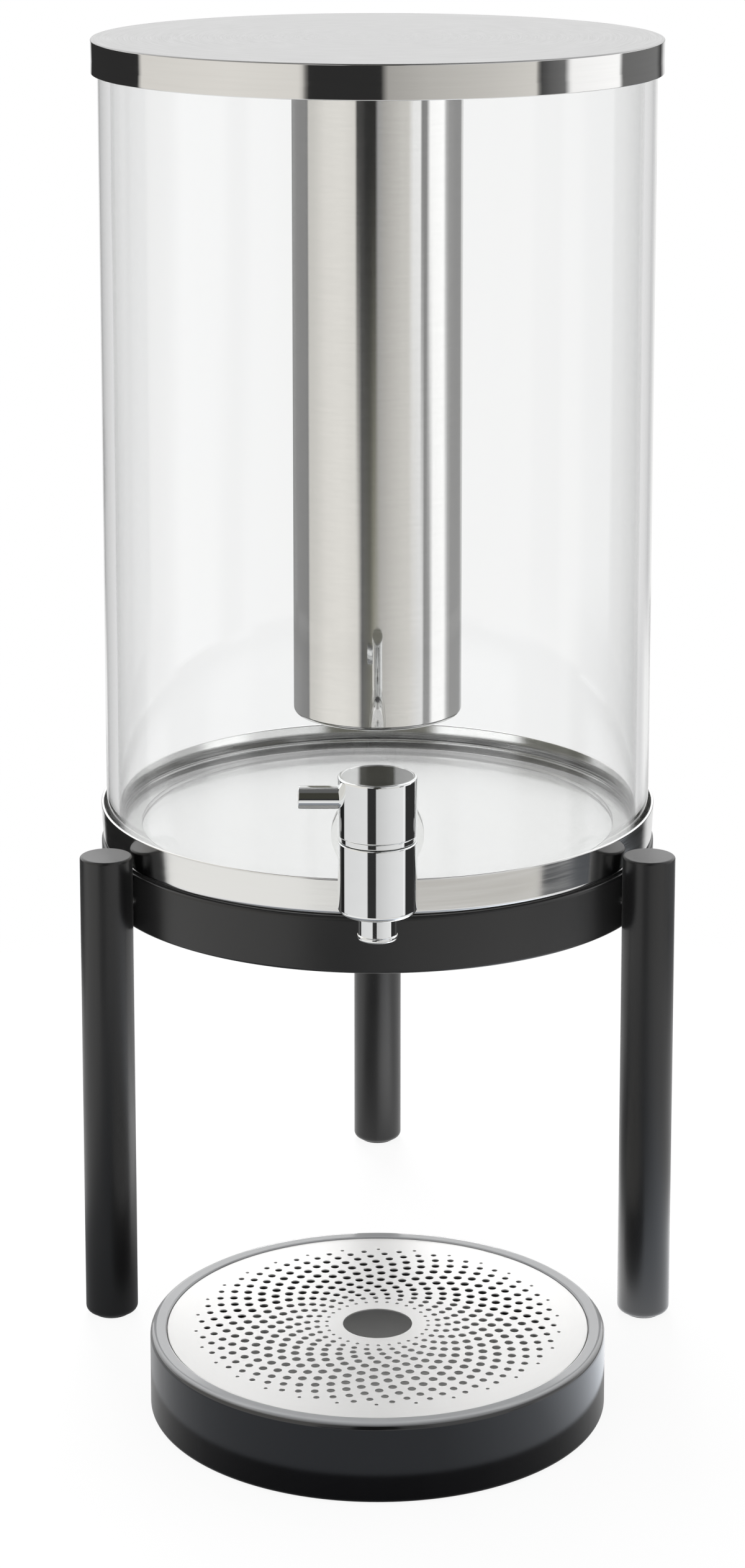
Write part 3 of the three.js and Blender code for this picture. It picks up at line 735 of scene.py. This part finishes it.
def buildLidSeal(settings):
    low, high = heightsOf("lid_seal")
    outer = radiusOf("lid_seal")
    lip = settings["lipRadius"]
    bore = lip - settings["lipWidth"]
    flange = high - settings["flange"]
    edge = settings["flangeEdge"]
    piece = turned("lidSeal", [
        (bore, low, settings["lipEdges"][0]),
        (lip, low, settings["lipEdges"][1]),
        (lip, flange),
        (outer, flange, edge),
        (outer, high, edge),
        (bore, high, edge),
    ], axisXY, silicone)
    mount(piece, "lid", "clear_silicone", "lid_seal")


buildLidSeal(lidSeal)
print("lid made")

# Ice tube: a polished tube, closed at its foot; its lugs are hidden in the collar and left out
iceTube = {
    "radius": 30.8 * mm, "wall": 1 * mm, "foot": 1.6 * mm, "topEdge": 0.3 * mm, "sides": 160,
}


def buildIceTube(settings):
    bottom, top = heightsOf("ice_tube")
    outer = settings["radius"]
    bore = outer - settings["wall"]
    floorTop = bottom + settings["wall"]
    piece = turned("iceTube", [
        (0, bottom),
        (outer, bottom, settings["foot"]),
        (outer, top, settings["topEdge"]),
        (bore, top, settings["topEdge"]),
        (bore, floorTop, settings["foot"] / 2),
        (0, floorTop),
    ], axisXY, polishedSteel, settings["sides"])
    mount(piece, "ice_tube", "polished_steel", "ice_tube")


buildIceTube(iceTube)

# Dish: pressed steel; its wall leans out a little, and a clear gasket lies on its floor
dish = {
    "sheet": 1 * mm, "corner": 2 * mm, "draft": 0.65 * mm, "rimEdge": 0.45 * mm, "sides": 192,
    "gasketWidth": 9 * mm, "gasketEdge": 0.4 * mm,
}


def buildDish(settings):
    bottom, top = heightsOf("base_dish")
    outer = radiusOf("base_dish")
    bore = outer - settings["sheet"]
    floorTop = bottom + settings["sheet"]
    piece = turned("baseDish", [
        (0, bottom),
        (outer - settings["draft"], bottom, settings["corner"]),
        (outer, top, settings["rimEdge"]),
        (bore, top, settings["rimEdge"]),
        (bore - settings["draft"], floorTop, settings["corner"] - settings["sheet"]),
        (0, floorTop),
    ], axisXY, pressedSteel, settings["sides"])
    mount(piece, "base", "polished_steel", "base_dish")
    outer = radiusOf("base_gasket")
    gasket = flatRing("baseGasket", outer - settings["gasketWidth"], outer,
                      heightsOf("base_gasket"), settings["gasketEdge"], axisXY, silicone)
    mount(gasket, "base", "clear_silicone", "base_gasket")


buildDish(dish)
print("dish made")

# Stand: a flat ring and round legs
stand = {
    "ringSheet": 4 * mm, "ringEdge": 1 * mm, "ringSides": 192,
    "legs": 3, "legTop": 0.9 * mm, "legFoot": 2.3 * mm, "legSides": 72,
}


def buildStand(settings):
    outer = radiusOf("stand_ring")
    ring = flatRing("standRing", outer - settings["ringSheet"], outer, heightsOf("stand_ring"),
                    settings["ringEdge"], axisXY, blackPaint, settings["ringSides"])
    mount(ring, "stand", "satin_black", "stand_ring")
    for number in range(1, settings["legs"] + 1):
        node = f"leg_{number}"
        centre = middleOf(node)
        leg = post(f"standLeg{number}", radiusOf(node), heightsOf(node),
                   (settings["legFoot"], settings["legTop"]), Vector((centre.x, centre.y, 0)),
                   blackPaint, settings["legSides"])
        mount(leg, "stand", "satin_black", node)


buildStand(stand)


# Small helpers for Geometry Nodes: a tree with named inputs, its end, and a piece made by it
def newTree(name, kinds):
    tree = bpy.data.node_groups.new(name, "GeometryNodeTree")
    sockets = {}
    for label, kind in kinds.items():
        socket = tree.interface.new_socket(
            label, in_out="INPUT", socket_type="NodeSocket" + kind,
        )
        sockets[label] = socket.identifier
    tree.interface.new_socket("Geometry", in_out="OUTPUT", socket_type="NodeSocketGeometry")
    return tree, sockets, newNode(tree, "NodeGroupInput").outputs


def endTree(tree, shape, finish):
    solid = newNode(tree, "GeometryNodeRealizeInstances", {"Geometry": shape}).outputs[0]
    inputs = {"Geometry": solid, "Material": finish}
    finished = newNode(tree, "GeometryNodeSetMaterial", inputs)
    newNode(tree, "NodeGroupOutput", {"Geometry": finished.outputs[0]})


def madeBy(tree, sockets, name, values):
    piece = bpy.data.objects.new(name, bpy.data.meshes.new(name))
    scene.collection.objects.link(piece)
    step = piece.modifiers.new(tree.name, "NODES")
    step.node_group = tree
    for label, value in values.items():
        step[sockets[label]] = value
    return settle(piece)


# Copies of one piece round an axis, each turned to face outwards
def copiesTree():
    tree, sockets, given = newTree("copiesRound", {
        "Piece": "Object", "Count": "Int", "Radius": "Float", "First Angle": "Float",
        "Finish": "Material",
    })
    circle = {"Vertices": given["Count"], "Radius": given["Radius"]}
    spots = newNode(tree, "GeometryNodeMeshCircle", circle)
    index = newNode(tree, "GeometryNodeInputIndex").outputs[0]
    share = calc(tree, "DIVIDE", index, given["Count"])
    angle = calc(tree, "MULTIPLY_ADD", share, 2 * math.pi, given["First Angle"])
    turn = newNode(tree, "ShaderNodeCombineXYZ", {"Z": angle})
    spin = newNode(tree, "ShaderNodeCombineXYZ", {"Z": given["First Angle"]})
    turnedSpots = {"Geometry": spots.outputs[0], "Rotation": spin.outputs[0]}
    placed = newNode(tree, "GeometryNodeTransform", turnedSpots)
    source = newNode(tree, "GeometryNodeObjectInfo", {"Object": given["Piece"]})
    copies = newNode(tree, "GeometryNodeInstanceOnPoints", {
        "Points": placed.outputs[0], "Instance": source.outputs["Geometry"],
        "Rotation": turn.outputs[0],
    })
    endTree(tree, copies.outputs[0], given["Finish"])
    return tree, sockets


roundTree, roundSockets = copiesTree()


def copiesRound(name, source, centre, radius, material, settings):
    piece = madeBy(roundTree, roundSockets, name, {
        "Piece": source, "Count": settings["count"], "Radius": radius,
        "First Angle": math.radians(settings["firstAngle"]), "Finish": material,
    })
    bpy.data.objects.remove(source)
    piece.data.transform(Matrix.Translation(centre))
    return piece


def distanceOf(node, centre):
    return (Vector(middleOf(node)[:2]) - Vector(centre[:2])).length


# Leg screws go in from inside the ring; the rubber pads are under the legs and the tray
smallParts = {
    "count": 3, "firstAngle": 90,   # degrees
    "screwHead": 4.6 * mm, "headHeight": 2.6 * mm, "headRounding": 1.6 * mm, "shaft": 2.4 * mm,
    "socketRadius": 1.9 * mm, "socketDepth": 1.4 * mm, "socketEdge": 0.2 * mm, "screwSides": 32,
    "padEdge": 0.4 * mm, "padSides": 40,
}


def buildScrews(settings):
    low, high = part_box("leg_screw_1")
    headTop = low.y - axisXY.y
    headFoot = headTop + settings["headHeight"]
    socketFloor = headTop + settings["socketDepth"]
    tip = high.y - axisXY.y
    screw = turned("screwSource", [
        (0, socketFloor),
        (settings["socketRadius"], socketFloor),
        (settings["socketRadius"], headTop, settings["socketEdge"]),
        (settings["screwHead"], headTop, settings["headRounding"]),
        (settings["screwHead"], headFoot),
        (settings["shaft"], headFoot),
        (settings["shaft"], tip),
        (0, tip),
    ], Vector(), polishedSteel, settings["screwSides"], "X")
    centre = axisXY + Vector((0, 0, (low.z + high.z) / 2))
    piece = copiesRound("legScrews", screw, centre, 0.0, polishedSteel, settings)
    mount(piece, "stand", "polished_steel", "leg_screw_1", "leg_screw_2", "leg_screw_3")


def buildPads(name, node, centre, body, settings):
    first = node + "1"
    edges = (settings["padEdge"], settings["padEdge"])
    source = post("padSource", radiusOf(first), heightsOf(first), edges, Vector(), rubber,
                  settings["padSides"])
    piece = copiesRound(name, source, centre, distanceOf(first, centre), rubber, settings)
    mount(piece, body, "black_rubber", first, node + "2", node + "3")


buildScrews(smallParts)
buildPads("footPads", "foot_pad_", axisXY, "stand", smallParts)
buildPads("trayPads", "tray_pad_", trayXY, "tray", smallParts)
print("stand made")

# Tap body: a chrome barrel, and behind it a stalk with a flange and a threaded shank
tapBody = {
    "topEdge": 0.4 * mm, "footEdge": 1.8 * mm, "gap": 0.2 * mm, "sides": 128,
    "stalkRadius": 8.2 * mm, "stalkEdge": 0.5 * mm, "stalkSides": 64,
    "flange": 2 * mm, "flangeRadius": 10.5 * mm, "flangeEdges": (0.4 * mm, 0.2 * mm),
    "plainShank": 9 * mm, "threadPitch": 1.25 * mm, "threadDepth": 0.55 * mm,
    "threadFlat": 0.15 * mm, "threadEnds": 0.5 * mm, "tipBevel": 0.6 * mm,
}


def threadCorners(start, end, settings):
    pitch = settings["threadPitch"]
    corners = []
    while start + pitch < end:
        corners.append((shankRadius, start + settings["threadFlat"]))
        corners.append((shankRadius - settings["threadDepth"], start + pitch / 2))
        corners.append((shankRadius, start + pitch - settings["threadFlat"]))
        start += pitch
    return corners


def buildTapBody(settings):
    low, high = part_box("tap_body")
    barrelTop = heightsOf("gland_ring")[0] - settings["gap"]
    body = post("tapBody", radiusOf("tap_body"), (low.z, barrelTop),
                (settings["footEdge"], settings["topEdge"]), tapXY, chrome, settings["sides"])
    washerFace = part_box("outer_washer")[0].y - tapXY.y - settings["gap"]
    flangeFace = washerFace - settings["flange"]
    threadStart = washerFace + settings["plainShank"]
    shankEnd = high.y - tapXY.y
    bevel = settings["tipBevel"]
    corners = [
        (0, 0),
        (settings["stalkRadius"], 0),
        (settings["stalkRadius"], flangeFace, settings["stalkEdge"]),
        (settings["flangeRadius"], flangeFace, settings["flangeEdges"][0]),
        (settings["flangeRadius"], washerFace, settings["flangeEdges"][1]),
        (shankRadius, washerFace),
        *threadCorners(threadStart, shankEnd - settings["threadEnds"], settings),
        (shankRadius, shankEnd - bevel),
        (shankRadius - bevel, shankEnd),
        (0, shankEnd),
    ]
    centre = tapXY + Vector((0, 0, middleOf("shank_nut").z))
    stalk = turned("stalk", corners, centre, chrome, settings["stalkSides"], "Y")
    combine(body, stalk, "UNION")
    mount(body, "container", "bright_chrome", "tap_body")


buildTapBody(tapBody)

# Gland ring: the narrow groove between the tap's body and its head
gland = {"bore": 6 * mm, "recess": 0.5 * mm, "edge": 0.2 * mm, "sides": 96}


def buildGland(settings):
    low, high = heightsOf("gland_ring")
    outer = radiusOf("tap_body") - settings["recess"]
    ring = turned("glandRing", [
        (settings["bore"], low),
        (outer, low, settings["edge"]),
        (outer, high, settings["edge"]),
        (settings["bore"], high),
    ], tapXY, chrome, settings["sides"])
    mount(ring, "container", "polished_steel", "gland_ring")


buildGland(gland)

# Tap head: as wide as the body, with a step round the top disc and a side lever let into it
tapHead = {
    "footEdge": 0.15 * mm, "topEdge": 0.8 * mm, "discRing": 1.2 * mm, "discStep": 0.15 * mm,
    "discEdge": 0.15 * mm, "holeGap": 0.12 * mm, "leverGap": 0.2 * mm, "leverTip": 0.35 * mm,
    "sides": 128, "holeSides": 64, "leverSides": 72,
}


def buildTapHead(settings):
    low, high = heightsOf("tap_head")
    outer = radiusOf("tap_body")
    ringIn = outer - settings["discRing"]
    step = settings["discStep"]
    head = turned("tapHead", [
        (0, low),
        (outer, low, settings["footEdge"]),
        (outer, high, settings["topEdge"]),
        (ringIn, high, settings["discEdge"]),
        (ringIn - step, high - step, settings["discEdge"]),
        (0, high - step),
    ], tapXY, chrome, settings["sides"])
    leverLow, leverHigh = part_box("lever_pin")
    radius = (leverHigh.z - leverLow.z) / 2
    centre = Vector((tapXY.x, tapXY.y, (leverLow.z + leverHigh.z) / 2))
    # the hole runs from halfway to the axis out through the side
    hole = post("leverHole", radius + settings["holeGap"], (-2 * outer, -outer / 2), (0, 0),
                centre, chrome, settings["holeSides"], "X")
    combine(head, hole, "DIFFERENCE")
    mount(head, "tap_handle", "bright_chrome", "tap_head")
    ends = (leverLow.x - tapXY.x, -outer / 2 - settings["leverGap"])
    lever = post("leverPin", radius, ends, (settings["leverTip"], 0), centre, chrome,
                 settings["leverSides"], "X")
    mount(lever, "tap_handle", "bright_chrome", "lever_pin")


buildTapHead(tapHead)

# Outlet nozzle: let into the foot of the body, with a bead round its mouth
nozzle = {
    "bore": 3.2 * mm, "mouthWall": 1.4 * mm, "mouthEdge": 0.3 * mm, "flare": 4 * mm,
    "bead": 0.35 * mm, "beadHeight": 1.4 * mm, "beadEdges": (0.6 * mm, 0.5 * mm, 0.3 * mm),
    "gap": 0.2 * mm, "spigot": 5 * mm, "spigotHeight": 4.6 * mm, "sides": 96,
}


def buildNozzle(settings):
    low = heightsOf("outlet_nozzle")[0]
    beadRadius = radiusOf("outlet_nozzle")
    outer = beadRadius - settings["bead"]
    bodyFoot = heightsOf("tap_body")[0]
    shoulder = bodyFoot - settings["gap"]
    spigotTop = bodyFoot + settings["spigotHeight"]
    beadTop = low + settings["beadHeight"]
    beadFoot, beadCrest, beadNeck = settings["beadEdges"]
    piece = turned("outletNozzle", [
        (settings["bore"], spigotTop),
        (settings["bore"], low + settings["flare"]),
        (outer - settings["mouthWall"], low, settings["mouthEdge"]),
        (beadRadius, low, beadFoot),
        (beadRadius, beadTop, beadCrest),
        (outer, beadTop + settings["bead"], beadNeck),
        (outer, shoulder),
        (settings["spigot"], shoulder),
        (settings["spigot"], spigotTop),
    ], tapXY, chrome, settings["sides"])
    mount(piece, "container", "bright_chrome", "outlet_nozzle")


buildNozzle(nozzle)

# Shank fixings: clear washers shaped to the glass, and a six-sided nut inside
washers = {
    "bore": 5.65 * mm, "edge": 0.8 * mm, "bow": 0.04, "seat": 0.1 * mm, "toolReach": 40 * mm,
    "sides": 96, "toolSides": 192,
}
nutSettings = {
    "bore": 5.5 * mm, "boreReach": 2 * mm, "sharpAngle": 20, "domeOver": 1 * mm,
    "domeIn": 2 * mm, "domeDrop": 1.6 * mm, "domeTop": 0.05 * mm,
    "sides": 6, "domeSides": 64, "boreSides": 48,
}


# side is 1 outside the glass and -1 inside it
def buildWasher(name, node, side, settings):
    low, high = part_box(node)
    glassRadius = radiusOf("glass_container")
    face = low.y if side > 0 else high.y
    centre = Vector((onAxis.x, face, (low.z + high.z) / 2))
    depth = (glassRadius * settings["bow"] + high.y - low.y) * side
    reach = radiusOf(node)
    piece = turned(name, [
        (settings["bore"], depth),
        (reach, depth),
        (reach, 0, settings["edge"]),
        (settings["bore"], 0),
    ], centre, silicone, settings["sides"], "Y")
    wallFace = glassRadius if side > 0 else glassRadius - jar["wall"]
    ends = (-settings["toolReach"], settings["toolReach"])
    tool = post("washerTool", wallFace + side * settings["seat"], ends, (0, 0),
                Vector((onAxis.x, onAxis.y, centre.z)), silicone, settings["toolSides"])
    combine(piece, tool, "DIFFERENCE" if side > 0 else "INTERSECT")
    mount(piece, "container", "clear_silicone", node)


def buildNut(settings):
    low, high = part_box("shank_nut")
    centre = Vector((onAxis.x, low.y, (low.z + high.z) / 2))
    height = high.y - low.y
    corner = max(high.x - low.x, high.z - low.z) / 2
    sharp = settings["sharpAngle"]
    over = settings["domeOver"]
    blank = [Vector(spot) for spot in ((0, 0), (corner, 0), (corner, height), (0, height))]
    nut = turnedMesh(blank, centre, settings["sides"], "Y")
    nut = addPiece("shankNut", nut, polishedSteel, sharp)
    dome = turned("nutDome", [
        (0, -over),
        (corner + over, -over),
        (corner + over, height - settings["domeDrop"]),
        (corner - settings["domeIn"], height + settings["domeTop"]),
        (0, height + settings["domeTop"]),
    ], centre, polishedSteel, settings["domeSides"], "Y")
    combine(nut, dome, "INTERSECT", sharp)
    ends = (-settings["boreReach"], height + settings["boreReach"])
    tool = post("nutBore", settings["bore"], ends, (0, 0), centre, polishedSteel,
                settings["boreSides"], "Y")
    combine(nut, tool, "DIFFERENCE", sharp)
    mount(nut, "container", "polished_steel", "shank_nut")


buildWasher("outerWasher", "outer_washer", 1, washers)
buildWasher("innerWasher", "inner_washer", -1, washers)
buildNut(nutSettings)
print("tap made")

# Tray: glossy smoky plastic with a rounded rim, a ledge for the plate and a pale floor inside
tray = {
    "wall": 3 * mm, "floor": 4 * mm, "floorEdge": 2 * mm, "rim": 2.2 * mm, "foot": 1.4 * mm,
    "edgeGap": 0.2 * mm, "innerSlope": 0.4 * mm, "slopeEdges": (0.4 * mm, 0.1 * mm),
    "plateGap": 0.2 * mm, "slopeFoot": 0.1 * mm, "ledgeWidth": 3 * mm, "ledgeSheet": 1.5 * mm,
    "ledgeEdges": (0.3 * mm, 0.4 * mm), "liningWithin": 0.1 * mm, "liningUp": 0.9, "sides": 192,
}


def buildTray(settings):
    low, high = heightsOf("drip_tray")
    outer = radiusOf("drip_tray")
    plateLow, plateHigh = heightsOf("drip_plate")
    recess = radiusOf("drip_plate") + settings["edgeGap"]
    ledgeTop = plateLow - settings["plateGap"]
    ledgeFoot = ledgeTop - settings["ledgeSheet"]
    ledgeBore = recess - settings["ledgeWidth"]
    bore = outer - settings["wall"]
    floorTop = low + settings["floor"]
    piece = turned("dripTray", [
        (0, low),
        (outer, low, settings["foot"]),
        (outer, high, settings["rim"]),
        (recess + settings["innerSlope"], high, settings["slopeEdges"][0]),
        (recess, plateHigh - settings["slopeFoot"], settings["slopeEdges"][1]),
        (recess, ledgeTop, settings["ledgeEdges"][0]),
        (ledgeBore, ledgeTop, settings["ledgeEdges"][1]),
        (ledgeBore, ledgeFoot),
        (bore, ledgeFoot - (bore - ledgeBore)),
        (bore, floorTop, settings["floorEdge"]),
        (0, floorTop),
    ], trayXY, smoky, settings["sides"])
    piece.data.materials.append(lining)
    for face in piece.data.polygons:
        onFloor = abs(face.center.z - floorTop) < settings["liningWithin"]
        face.material_index = 1 if onFloor and face.normal.z > settings["liningUp"] else 0
    mount(piece, "tray", "smoky_black", "drip_tray")


buildTray(tray)

# Drip plate: holes on spiral arms round a finger hole, in a sheet with a turned-down edge.
# The holes' settings carry the names of the tree's inputs
plateHoles = {
    "Finger Radius": 11.9 * mm, "Arms": 30, "Rings": 18,
    "Inner Ring": 17.5 * mm, "Outer Ring": 62.5 * mm, "Crowding": 13.5 * mm,
    "First Angle": math.radians(7.0), "Ring Turn": math.radians(7.2), "Settling": 3.9,
    "Small Hole": 0.65 * mm, "Hole Growth": 0.9 * mm, "Growth Shape": 0.5,
    "Hole Corners": 12, "Rim Corners": 192,
}
plateSettings = {
    "sheet": 0.4 * mm, "topEdge": 0.3 * mm, "footEdge": 0.3 * mm, "rimWidth": 3 * mm,
    "edgeWithin": 0.02 * mm, "weldWithin": 0.005 * mm,
}


def circle(tree, corners, radius):
    inputs = {"Resolution": corners, "Radius": radius}
    return newNode(tree, "GeometryNodeCurvePrimitiveCircle", inputs).outputs[0]


def joined(tree, *shapes):
    node = newNode(tree, "GeometryNodeJoinGeometry")
    for shape in shapes:
        tree.links.new(shape, node.inputs[0])
    return node.outputs[0]


def perforationTree():
    kinds = {key: "Int" if isinstance(value, int) else "Float" for key, value in plateHoles.items()}
    tree, sockets, given = newTree("perforations", {
        **kinds, "Disc Radius": "Float", "Sheet": "Float", "Finish": "Material",
    })
    total = calc(tree, "MULTIPLY", given["Arms"], given["Rings"])
    spots = newNode(tree, "GeometryNodePoints", {"Count": total})
    index = newNode(tree, "GeometryNodeInputIndex").outputs[0]
    ring = calc(tree, "DIVIDE", calc(tree, "ADD", index, 0.5), given["Arms"])
    ring = calc(tree, "FLOOR", ring)
    arm = calc(tree, "SUBTRACT", index, calc(tree, "MULTIPLY", ring, given["Arms"]))
    along = calc(tree, "DIVIDE", ring, calc(tree, "SUBTRACT", given["Rings"], 1.0))
    # the rings stand closer together towards the outside
    span = calc(tree, "SUBTRACT", given["Outer Ring"], given["Inner Ring"])
    span = calc(tree, "ADD", span, given["Crowding"])
    grown = calc(tree, "MULTIPLY", span, along)
    drawn = calc(tree, "MULTIPLY", given["Crowding"], calc(tree, "MULTIPLY", along, along))
    reach = calc(tree, "SUBTRACT", calc(tree, "ADD", given["Inner Ring"], grown), drawn)
    # each ring turns on from the last, by less near the middle
    decay = calc(tree, "MULTIPLY", calc(tree, "DIVIDE", ring, given["Settling"]), -1.0)
    decay = calc(tree, "EXPONENT", decay)
    lag = calc(tree, "MULTIPLY", given["Settling"], calc(tree, "SUBTRACT", 1.0, decay))
    turn = calc(tree, "MULTIPLY", given["Ring Turn"], calc(tree, "SUBTRACT", ring, lag))
    turn = calc(tree, "ADD", turn, given["First Angle"])
    spacing = calc(tree, "DIVIDE", 2 * math.pi, given["Arms"])
    angle = calc(tree, "ADD", turn, calc(tree, "MULTIPLY", arm, spacing))
    x = calc(tree, "MULTIPLY", reach, calc(tree, "COSINE", angle))
    y = calc(tree, "MULTIPLY", reach, calc(tree, "SINE", angle))
    place = newNode(tree, "ShaderNodeCombineXYZ", {"X": x, "Y": y})
    placed = {"Geometry": spots.outputs[0], "Position": place.outputs[0]}
    moved = newNode(tree, "GeometryNodeSetPosition", placed)
    # the holes are largest halfway out
    swell = calc(tree, "SINE", calc(tree, "MULTIPLY", along, math.pi))
    swell = calc(tree, "POWER", calc(tree, "MAXIMUM", swell, 0.0), given["Growth Shape"])
    growth = calc(tree, "MULTIPLY", given["Hole Growth"], swell)
    size = calc(tree, "ADD", given["Small Hole"], growth)
    size = newNode(tree, "ShaderNodeCombineXYZ", {"X": size, "Y": size, "Z": size})
    holes = newNode(tree, "GeometryNodeInstanceOnPoints", {
        "Points": moved.outputs[0], "Instance": circle(tree, given["Hole Corners"], 1.0),
        "Scale": size.outputs[0],
    })
    rim = circle(tree, given["Rim Corners"], given["Disc Radius"])
    finger = circle(tree, given["Rim Corners"], given["Finger Radius"])
    outlines = {"Geometry": joined(tree, rim, finger, holes.outputs[0])}
    flat = newNode(tree, "GeometryNodeRealizeInstances", outlines)
    sheet = newNode(tree, "GeometryNodeFillCurve", {"Curve": flat.outputs[0]})
    lift = newNode(tree, "ShaderNodeCombineXYZ", {"Z": given["Sheet"]})
    raised = newNode(tree, "GeometryNodeExtrudeMesh", {
        "Mesh": sheet.outputs[0], "Offset": lift.outputs[0], "Offset Scale": 1.0,
        "Individual": False,
    })
    under = newNode(tree, "GeometryNodeFlipFaces", {"Mesh": sheet.outputs[0]})
    both = joined(tree, raised.outputs[0], under.outputs[0])
    near = {"Geometry": both, "Distance": 0.001 * mm}
    welded = newNode(tree, "GeometryNodeMergeByDistance", near)
    endTree(tree, welded.outputs[0], given["Finish"])
    return tree, sockets


# Upright faces at the outside of the disc, where the rim is welded on
def discEdge(bm, reach):
    upright = [face for face in bm.faces if abs(face.normal.z) < 0.5]
    return [face for face in upright if min(Vector(v.co[:2]).length for v in face.verts) > reach]


def buildPlate(settings, holes):
    low, high = heightsOf("drip_plate")
    outer = radiusOf("drip_plate")
    discRadius = outer - settings["rimWidth"]
    bore = outer - settings["sheet"]
    underside = high - settings["sheet"]
    foot = settings["footEdge"]
    tree, sockets = perforationTree()
    piece = madeBy(tree, sockets, "dripPlate", {
        **holes, "Disc Radius": discRadius, "Sheet": settings["sheet"], "Finish": plateSteel,
    })
    bm = bmesh.new()
    bm.from_mesh(piece.data)
    bm.transform(Matrix.Translation((0, 0, underside)))
    edge = discEdge(bm, discRadius - settings["edgeWithin"])
    bmesh.ops.delete(bm, geom=edge, context="FACES")
    rim = roundedOutline([
        (discRadius, underside),
        (bore, underside, foot),
        (bore, low, foot),
        (outer, low, foot),
        (outer, high, settings["topEdge"]),
        (discRadius, high),
    ])
    count = holes["Rim Corners"]
    rings = [ringOfVerts(bm, spot, count) for spot in rim]
    for inner, after in zip(rings, rings[1:]):
        for i in range(count):
            j = (i + 1) % count
            bm.faces.new((inner[i], inner[j], after[j], after[i]))
    bmesh.ops.remove_doubles(bm, verts=bm.verts, dist=settings["weldWithin"])
    bmesh.ops.recalc_face_normals(bm, faces=bm.faces)
    bm.transform(Matrix.Translation(trayXY))
    bpy.data.objects.remove(piece)
    mount(addPiece("dripPlate", bm, plateSteel), "drip_plate", "satin_steel", "drip_plate")


buildPlate(plateSettings, plateHoles)
print("tray made")

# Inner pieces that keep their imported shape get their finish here
innerFinishes = {
    "valve_plug": polishedSteel, "upper_seal_ring": rubber, "lower_seal_ring": rubber,
    "tube_collar": polishedSteel,
}
for innerNode, innerFinish in innerFinishes.items():
    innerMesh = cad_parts[innerNode].data
    innerMesh.materials.clear()
    innerMesh.materials.append(innerFinish)
print("inner pieces finished")
